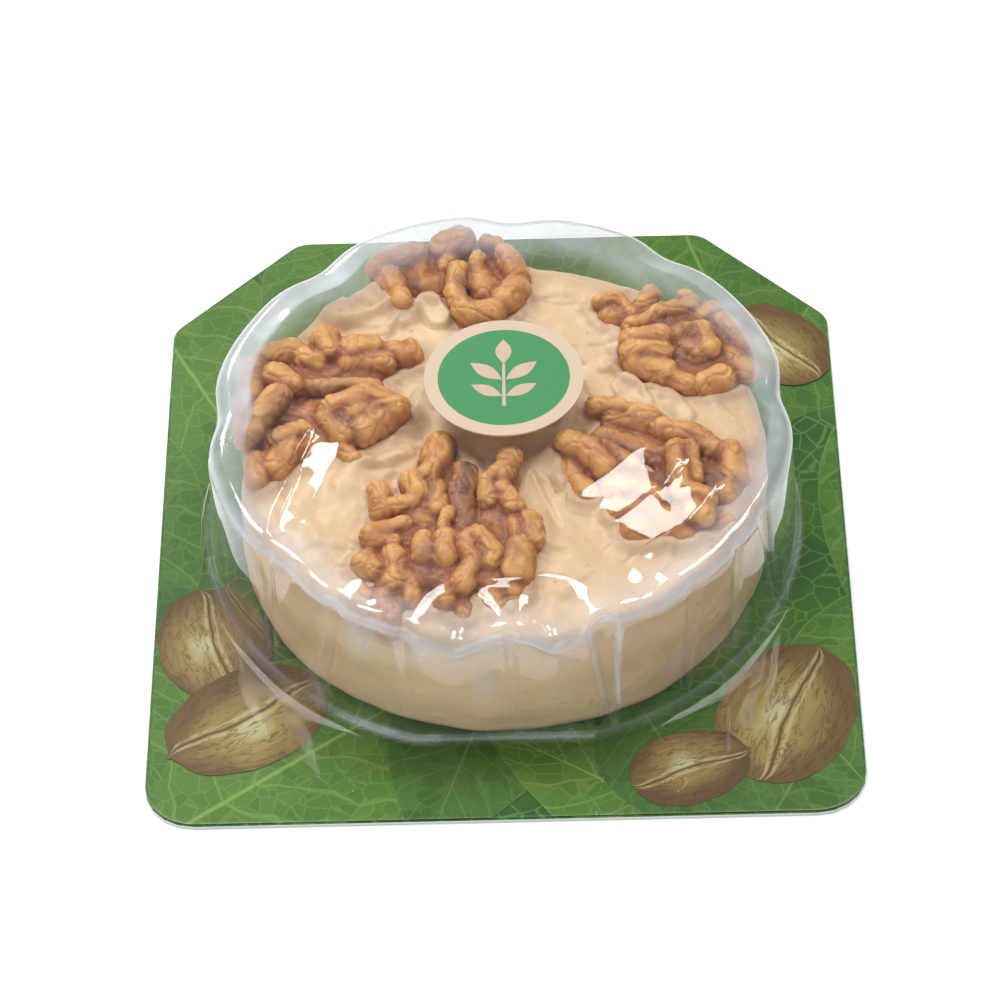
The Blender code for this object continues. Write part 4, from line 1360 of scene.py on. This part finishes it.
def fold_lines(name):
    """Edges along the middle of every fold, with the fold's radius at each end."""
    bm = bmesh.new()
    layer = bm.verts.layers.float.new("fold_radius")

    def line(*ends):
        verts = []
        for place, radius in ends:
            verts.append(bm.verts.new(place * MM))
            verts[-1][layer] = radius * MM
        bm.edges.new(verts)

    for x0, y0, radius0, x1, y1, radius1, crest in NUT_FOLDS[name]:
        start = fold_end(x0, y0, radius0, crest)
        end = fold_end(x1, y1, radius1, crest)
        line((start, radius0 * FOLD_GROWTH), (end, radius1 * FOLD_GROWTH))
        line((root_end(start, radius0), radius0), (root_end(end, radius1), radius1))
    for x0, y0, radius0, x1, y1, radius1 in NUT_BODIES[name]:
        line((Vector((x0, y0, NUT_BODY_TOP - radius0)), radius0 + BODY_GROWTH),
             (Vector((x1, y1, NUT_BODY_TOP - radius1)), radius1 + BODY_GROWTH))
    return show(name + "_folds", mesh_from(bm, name, smooth=False))


def add_shades(mesh):
    """Store how much painted shade the skin has at each vertex."""
    layer = mesh.attributes.new("shade", "FLOAT", "POINT")
    for vert, value in zip(mesh.vertices, layer.data):
        point = vert.co.to_2d() / MM
        for *ends, width, depth in NUT_SHADES:
            distance = off_segment(point, *ends)
            if distance < 2.5 * width:
                value.value = max(value.value, depth * bell(distance, width))


def kernel_tree():
    """Geometry Nodes: swell fold lines into one wrinkled kernel skin."""
    name = "Kernel skin"
    if name in bpy.data.node_groups:
        return bpy.data.node_groups[name]
    tree, given = new_group(name, "GeometryNodeTree", (
        ("Geometry", "Geometry"), ("Step", "Float", FOLD_STEP),
        ("Voxel", "Float", 0.3 * MM), ("Wrinkle", "Float", 0.3 * MM),
        ("Seed", "Float", 0.0), ("Material", "Material")), (("Geometry", "Geometry"),))
    place = put(tree, "GeometryNodeInputPosition")
    normal = put(tree, "GeometryNodeInputNormal")

    def uneven(scale, detail, roughness, distortion, output="Fac"):
        """Noise over the kernel, different for each seed."""
        return put(tree, "ShaderNodeTexNoise", {
            "Vector": place, "W": given["Seed"], "Scale": scale, "Detail": detail,
            "Roughness": roughness, "Distortion": distortion}, output,
            noise_dimensions="4D")

    def stored(geometry, label, value):
        return put(tree, "GeometryNodeStoreNamedAttribute", {
            "Geometry": geometry, "Name": label, "Value": value},
            data_type="FLOAT", domain="POINT")

    lines = put(tree, "GeometryNodeMeshToCurve", {"Mesh": given["Geometry"]})
    beads = put(tree, "GeometryNodeResampleCurve", {
        "Curve": lines, "Length": given["Step"]}, mode="LENGTH")
    sway = uneven(140.0, 1.0, 0.5, 0.0, "Color").vector("SUBTRACT", MID_GREY)
    bent = put(tree, "GeometryNodeSetPosition", {
        "Geometry": beads, "Offset": sway.vector("SCALE", FOLD_SWAY)})
    points = put(tree, "GeometryNodeCurveToPoints", {"Curve": bent}, mode="EVALUATED")
    radius = put(tree, "GeometryNodeInputNamedAttribute", {"Name": "fold_radius"},
                 "Attribute", data_type="FLOAT")
    cloud = put(tree, "GeometryNodePointsToVolume", {
        "Points": points, "Voxel Size": given["Voxel"], "Radius": radius},
        resolution_mode="VOXEL_SIZE")
    skin = put(tree, "GeometryNodeVolumeToMesh", {"Volume": cloud},
               resolution_mode="GRID")

    soft, wide = (put(tree, "GeometryNodeBlurAttribute", {
        "Value": place, "Iterations": steps}, data_type="FLOAT_VECTOR")
        for steps in (SKIN_BLUR, HOLLOW_BLUR))
    smooth = put(tree, "GeometryNodeSetPosition", {"Geometry": skin, "Position": soft})
    hollow = wide.vector("SUBTRACT", place).vector("DOT_PRODUCT", normal, "Value")
    hollowed = stored(smooth, "hollow", hollow * (1.0 / MM))

    grooves = largest(*(ramp(abs(uneven(scale, 1.0, 0.4, 0.9) - 0.5), width, 0.0)
                        for scale, width in ((115.0, 0.04), (205.0, 0.045))))
    grooved = stored(hollowed, "groove", grooves)
    large = (uneven(210.0, 1.0, 0.5, 0.5) - 0.5) * 3.4
    small = (uneven(700.0, 2.0, 0.5, 0.8) - 0.5) * 0.6
    height = (large + small - grooves * 0.75) * given["Wrinkle"]
    wrinkled = put(tree, "GeometryNodeSetPosition", {
        "Geometry": grooved, "Offset": normal.vector("SCALE", height)})
    shaded = put(tree, "GeometryNodeSetShadeSmooth", {"Geometry": wrinkled})
    return close_group(tree, shaded, given["Material"])


def nut_material(settings):
    """Walnut skin: painted light on the crests and higher parts, painted shade in the
    valleys, grooves and shaded spots, thin brown veins and a waxy sheen.
    """
    material, tree, place = new_material("Walnut skin")
    hollow = attribute(tree, "hollow")
    broad = speckle(place, 95.0, 3.0, 0.55)
    fine = speckle(place, 1500.0, 3.0)
    vein = skin_veins(place)
    # Painted light: the skin is lighter on the folds' crests and higher up; the broad
    # noise adds the skin's own random tone
    painted_top_light = ramp(parts_of(place)["Z"], 22.8 * MM, 25.4 * MM)
    light = (ramp(hollow, -0.05, -0.26) * 0.6 + painted_top_light * 0.38).maths(
        "ADD", (broad - 0.55) * 1.8, clamp=True)
    # Painted shade at the spots listed in NUT_SHADES
    shade = attribute(tree, "shade").maths(
        "MULTIPLY", speckle(place, 500.0) + 0.3, clamp=True)
    dark = tint(settings.valley_shade, 0.8)
    # Painted shade: the valleys, the grooves and the shade spots are darkened; the
    # veins and fine specks are the skin's own colour
    colour = overlay(
        mix(light, settings.skin, settings.crest),
        (ramp(hollow, -0.12, 0.10) * 0.85, settings.valley_shade),
        (shade, settings.shade),
        (attribute(tree, "groove") * 0.22, dark),
        (vein * 0.35, dark),
        (ramp(fine, 0.5, 0.8) * 0.25, tint(settings.valley_shade, 1.4)))
    grain = bump(vein * -1.0, 0.5, 0.00025, bump(fine, 0.3, 0.00015))
    dress(tree, Base_Color=colour, Roughness=broad * 0.2 + 0.36, Normal=grain,
          Specular_IOR_Level=0.36, Coat_Weight=0.06, Coat_Roughness=0.2)
    return material


def skin_veins(place):
    """Thin lines that wander over the skin: where slow noises cross their middle."""
    lines = []
    for scale, width, offset in ((105.0, 0.007, 0.0), (190.0, 0.009, 0.3)):
        moved = place.vector("ADD", (offset, 0.0, 0.0))
        off = abs(speckle(moved, scale, 1.5, 0.45, 0.5) - 0.5)
        lines.append(ramp(off, width, width * 0.2))
    return largest(*lines) * ramp(speckle(place, 240.0), 0.44, 0.62)


class NUTS_OT_grow(bpy.types.Operator):
    """Grow the five walnut halves from their folds"""
    bl_idname = "cheese_pack.walnuts"
    bl_label = "Walnut halves"

    def execute(self, context):
        settings = context.scene.pack_walnuts
        finish = nut_material(settings)
        for seed, name in enumerate(NUT_FOLDS):
            mesh = run_nodes(fold_lines(name), kernel_tree(), {
                "Step": FOLD_STEP, "Voxel": settings.voxel, "Wrinkle": settings.wrinkle,
                "Seed": float(seed), "Material": finish})
            add_shades(mesh)
            add_piece(name + "_kernel", mesh, finish, "walnut", name)
        return {"FINISHED"}


# Cheese

def stroke_height(x, y):
    """Height of the knife strokes at a point of the cheese's top, in metres."""
    point = Vector((x, y)) / MM
    total = 0.0
    for *ends, height, width, steepness in CHEESE_STROKES:
        distance = off_segment(point, *ends)
        if distance < width * 3:
            total += height * MM * bell(distance, width, steepness)
    return total


def nut_tree():
    """One search tree over all the walnut halves."""
    verts, faces = [], []
    for name in NUT_FOLDS:
        mesh = bpy.data.objects[name + "_kernel"].data
        first = len(verts)
        verts += [v.co.copy() for v in mesh.vertices]
        faces += [[first + i for i in p.vertices] for p in mesh.polygons]
    return BVHTree.FromPolygons(verts, faces)


def cheese_point(angle, radius, height, swell):
    """A point of the cheese; its side spreads towards the card and is uneven."""
    around = Vector((math.cos(angle), math.sin(angle), 0.0)) * SIDE_WAVES
    around.z = height / SIDE_WAVE_HEIGHT
    spread = CHEESE_SPREAD * (CHEESE_TOP - height) / (CHEESE_TOP - CHEESE_BOTTOM)
    spread += BULGE * bell(angle_between(angle, BULGE_ANGLE), BULGE_WIDTH, 4)
    reach = radius + spread + swell * SIDE_UNEVENNESS * noise.noise(around)
    lump = Vector((around.x * 3.4, around.y * 3.4, around.z * 1.1 + 4.0))
    fine = noise.noise(around * 9.0) * SIDE_GRAIN * swell
    fine += noise.noise(lump) * SIDE_LUMPS * swell
    return Vector((CHEESE_CENTRE.x + (reach + fine) * math.cos(angle),
                   CHEESE_CENTRE.y + (reach + fine) * math.sin(angle), height))


def smear(x, y):
    """Fine unevenness that a knife leaves, drawn out across the top."""
    place = Vector((x, y, 0.0))
    broad = noise.noise(place / TOP_WAVE) * TOP_UNEVENNESS
    bend = noise.noise_vector(place / (9.0 * MM)) * 1.1
    ledges = math.tanh(noise.noise(place / (7.5 * MM) + bend) * 11.0) * LEDGE_HEIGHT
    crack = bell(noise.noise(place / (5.0 * MM) + bend * 0.7), 0.045)
    crack *= smooth_step(noise.noise(place / (11.0 * MM)) * 3.0)
    drawn = noise.noise(Vector((x * 0.35 + y * 0.9, y * 0.25 - x, 3 * MM)) / (2.1 * MM))
    grain = noise.noise(Vector((x, y, 7 * MM)) / (0.9 * MM))
    fine = drawn * 0.14 * MM + grain * 0.04 * MM
    return broad + ledges + fine - crack * CRACK_DEPTH


def cheese_rings():
    """(radius, drop below the top) of the rings from the middle to the foot."""
    edge = CHEESE_RADIUS - CHEESE_EDGE_ROUND
    rings = [(edge * (i + 1) / CHEESE_TOP_STEPS, 0.0) for i in range(CHEESE_TOP_STEPS)]
    for i in range(1, CHEESE_EDGE_STEPS):
        turn = math.pi / 2 * i / CHEESE_EDGE_STEPS
        rings.append((edge + CHEESE_EDGE_ROUND * math.sin(turn),
                      CHEESE_EDGE_ROUND * (1 - math.cos(turn))))
    height = CHEESE_TOP - CHEESE_BOTTOM
    side = CHEESE_TOP - CHEESE_EDGE_ROUND - CHEESE_BOTTOM - CHEESE_FOOT_ROUND
    rings += [(CHEESE_RADIUS, CHEESE_EDGE_ROUND + side * i / CHEESE_SIDE_STEPS)
              for i in range(CHEESE_SIDE_STEPS + 1)]
    rings.append((CHEESE_RADIUS - CHEESE_FOOT_ROUND / 3, height - 0.4 * MM))
    rings.append((CHEESE_RADIUS - CHEESE_FOOT_ROUND, height))
    return rings


def cheese_mesh(segments):
    noise.seed_set(SMEAR_SEED)
    bm = bmesh.new()
    paste_shade_layer = bm.verts.layers.float.new("paste_shade")
    nuts = nut_tree()
    loops = []
    for radius, drop in cheese_rings():
        loop = []
        swell = min(1.0, drop / CHEESE_EDGE_ROUND)
        flat = 1.0 - swell
        for i in range(segments):
            place = cheese_point(2 * math.pi * i / segments, radius, CHEESE_TOP - drop,
                                 swell)
            paste_shade = 0.0
            if drop < 2 * CHEESE_EDGE_ROUND:
                near = nuts.find_nearest(place, NUT_REACH)[3]
                if near is not None:
                    place.z += MENISCUS_HEIGHT * bell(near, MENISCUS_WIDTH) * flat
                    # Painted shade on the paste close to a nut
                    paste_shade = bell(near, PASTE_SHADE_WIDTH)
                spread = stroke_height(place.x, place.y) + smear(place.x, place.y)
                place.z += spread * flat
            vert = bm.verts.new(place)
            vert[paste_shade_layer] = paste_shade
            loop.append(vert)
        loops.append(loop)
    loops.reverse()
    top = CHEESE_TOP + stroke_height(*CHEESE_CENTRE)
    join_loops(bm, loops, bm.verts.new((*CHEESE_CENTRE, top)))
    bm.faces.new(reversed(loops[0]))
    return mesh_from(bm, "cheese_paste")


def cheese_material(settings):
    """Soft cream paste with painted shade beside the nuts and in its small pits, and
    smears.
    """
    material, tree, place = new_material("Cheese paste")
    parts = parts_of(place)
    broad = ramp(speckle(place, 42.0, 4.0, 0.6, 0.4), 0.40, 0.75)
    along = parts["Y"] - parts["X"] * 0.5
    warm = ramp(along, 30 * MM, -10 * MM) * ramp(parts["Z"], 17 * MM, 20.5 * MM)
    rosy = ramp(speckle(place, 90.0, 3.0, 0.55), 0.52, 0.72)
    # Painted shade along the nuts' edges
    edge = attribute(tree, "paste_shade") * speckle(place, 260.0, 3.0, 0.6)
    # Small pits, dented by the bump and darkened with painted shade
    pits = ramp(put(tree, "ShaderNodeTexVoronoi", {"Vector": place, "Scale": 210.0},
                    "Distance", feature="F1"), 0.10, 0.04)
    smears = speckle(place, 420.0, 2.0, 0.6, 0.8)
    colour = overlay(
        mix(broad * 0.45, settings.cream, settings.tan),
        (warm * 0.5, tint(settings.tan, 0.96)),
        (rosy * 0.22, CHEESE_ROSE),
        (edge.maths("MULTIPLY", 0.85, clamp=True), settings.paste_shade),
        (pits * 0.35, settings.paste_shade))
    dress(tree, Base_Color=colour, Roughness=smears * 0.3 + 0.30,
          Normal=bump(pits, 0.35, 0.0003, bump(smears, 0.35, 0.0004)))
    return material


class CHEESE_OT_spread(bpy.types.Operator):
    """Spread the cheese round the walnut halves"""
    bl_idname = "cheese_pack.cheese"
    bl_label = "Cheese"

    def execute(self, context):
        settings = context.scene.pack_cheese
        add_piece("cheese_paste", cheese_mesh(settings.segments),
                  cheese_material(settings), "cheese", "cheese")
        return {"FINISHED"}


# Label

def paper_material(name, colour, change, cloud, tooth, roughness):
    """Paper or ink whose colour changes a little in clouds, with a faint tooth."""
    material, tree, place = new_material(name)
    clouds = speckle(place, *cloud)
    dress(tree, Base_Color=mix(clouds, colour, tint(colour, change)),
          Roughness=roughness, Normal=bump(speckle(place, 3000.0), tooth, 0.0001))
    return material


def ink_material(name, colour):
    return paper_material(name, colour, 0.86, (900.0,), 0.12, 0.4)


def flat_patch(bm, points, height):
    verts = [bm.verts.new((x * MM + LABEL_CENTRE.x, y * MM + LABEL_CENTRE.y, height))
             for x, y in points]
    face = bm.faces.new(verts)
    face.normal_update()
    if face.normal.z < 0:
        face.normal_flip()


def leaf_outline(x, y, direction, length, width, steps=14):
    """Outline of a small pointed leaf from its foot, in millimetres."""
    along = heading(direction)
    across = Vector((-along.y, along.x))
    points = []
    for i in range(2 * steps):
        share = i / steps if i < steps else 2 - i / steps
        side = 1 if i < steps else -1
        off = side * width / 2 * math.sin(math.pi * share)
        points.append(Vector((x, y)) + along * length * share + across * off)
    return points


def print_on_label(name, shapes, layer, material):
    """Add flat printed shapes on the label; layer counts the inks from below."""
    bm = bmesh.new()
    for points in shapes:
        flat_patch(bm, points, LABEL_TOP + layer * LABEL_INK)
    add_piece(name, mesh_from(bm, name, smooth=False), material, "label")


class LABEL_OT_print(bpy.types.Operator):
    """Finish the round label and print its disc and leaf sprig"""
    bl_idname = "cheese_pack.label"
    bl_label = "Label"

    def execute(self, context):
        settings = context.scene.pack_label
        repaint("label", paper_material("Label paper", settings.paper, 1.06,
                                        (160.0, 3.0), 0.15, 0.42))
        disc = [heading(angle) * (LABEL_DISC_RADIUS / MM) for angle in range(0, 360, 4)]
        print_on_label("label_disc", [disc], 1, ink_material("Green ink", settings.ink))
        leaves = [leaf_outline(*leaf) for leaf in SPRIG_LEAVES]
        print_on_label("label_sprig", [SPRIG_STEM] + leaves, 2,
                       ink_material("Cream ink", settings.paper))
        return {"FINISHED"}


# Stage

def add_softbox(name, place, size, power):
    light = bpy.data.lights.new(name, "AREA")
    light.shape = "RECTANGLE"
    light.size, light.size_y = size
    light.energy = power
    item = show(name, light)
    item.location = place
    item.rotation_mode = "QUATERNION"
    item.rotation_quaternion = (LIGHT_TARGET - Vector(place)).to_track_quat("-Z", "Y")


def add_floor(colour):
    bm = bmesh.new()
    bmesh.ops.create_grid(bm, x_segments=1, y_segments=1, size=FLOOR_HALF_SIZE)
    mesh = mesh_from(bm, "floor", smooth=False)
    material, tree, place = new_material("Floor")
    dress(tree, Base_Color=mix(speckle(place, 3.0), colour, tint(colour, 0.985)),
          Roughness=0.8)
    mesh.materials.append(material)
    show("floor", mesh)


class STAGE_OT_set(bpy.types.Operator):
    """Set the floor, the lights and the camera"""
    bl_idname = "cheese_pack.stage"
    bl_label = "Stage"

    def execute(self, context):
        scene = context.scene
        settings = scene.pack_stage
        add_floor(settings.floor_colour)
        for name, place, size, power in LIGHTS:
            add_softbox(name, place, size, power or settings.softbox_power)

        scene.world = bpy.data.worlds.new("studio")
        scene.world.use_nodes = True
        surround = scene.world.node_tree.nodes["Background"].inputs
        feed(surround["Color"], SURROUND_COLOUR)
        feed(surround["Strength"], settings.fill)
        scene.view_settings.view_transform = "Standard"
        scene.view_settings.look = "None"

        scene.camera = show("camera", bpy.data.cameras.new("camera"))
        scene.camera.data.lens = settings.lens
        scene.camera.data.sensor_width = SENSOR_WIDTH
        turn = Matrix([Vector(axis).normalized() for axis in CAMERA_AXES]).transposed()
        scene.camera.matrix_world = Matrix.Translation(CAMERA_PLACE) @ turn.to_4x4()
        return {"FINISHED"}


class PACK_PT_panel(bpy.types.Panel):
    """Lists the steps that dress the pack"""
    bl_idname = "PACK_PT_panel"
    bl_label = "Cheese Pack"
    bl_space_type = "VIEW_3D"
    bl_region_type = "UI"
    bl_category = "Cheese Pack"

    def draw(self, context):
        for name, _, operator in STEPS:
            box = self.layout.box()
            settings = getattr(context.scene, name)
            for key in settings.__annotations__:
                box.prop(settings, key)
            box.operator(operator.bl_idname)


# Steps in their order: name of the settings, their group and the operator
STEPS = (
    ("pack_card", CardSettings, CARD_OT_dress),
    ("pack_walnuts", WalnutSettings, NUTS_OT_grow),
    ("pack_cheese", CheeseSettings, CHEESE_OT_spread),
    ("pack_film", FilmSettings, FILM_OT_form),
    ("pack_label", LabelSettings, LABEL_OT_print),
    ("pack_stage", StageSettings, STAGE_OT_set),
)


def register():
    for name, group, operator in STEPS:
        bpy.utils.register_class(group)
        setattr(bpy.types.Scene, name, PointerProperty(type=group))
        bpy.utils.register_class(operator)
    bpy.utils.register_class(PACK_PT_panel)


def unregister():
    bpy.utils.unregister_class(PACK_PT_panel)
    for name, group, operator in reversed(STEPS):
        bpy.utils.unregister_class(operator)
        delattr(bpy.types.Scene, name)
        bpy.utils.unregister_class(group)


def main():
    register()
    bpy.ops.cheese_pack.card()
    bpy.ops.cheese_pack.walnuts()
    bpy.ops.cheese_pack.cheese()
    bpy.ops.cheese_pack.film()
    bpy.ops.cheese_pack.label()
    bpy.ops.cheese_pack.stage()


if __name__ == "__main__":
    main()
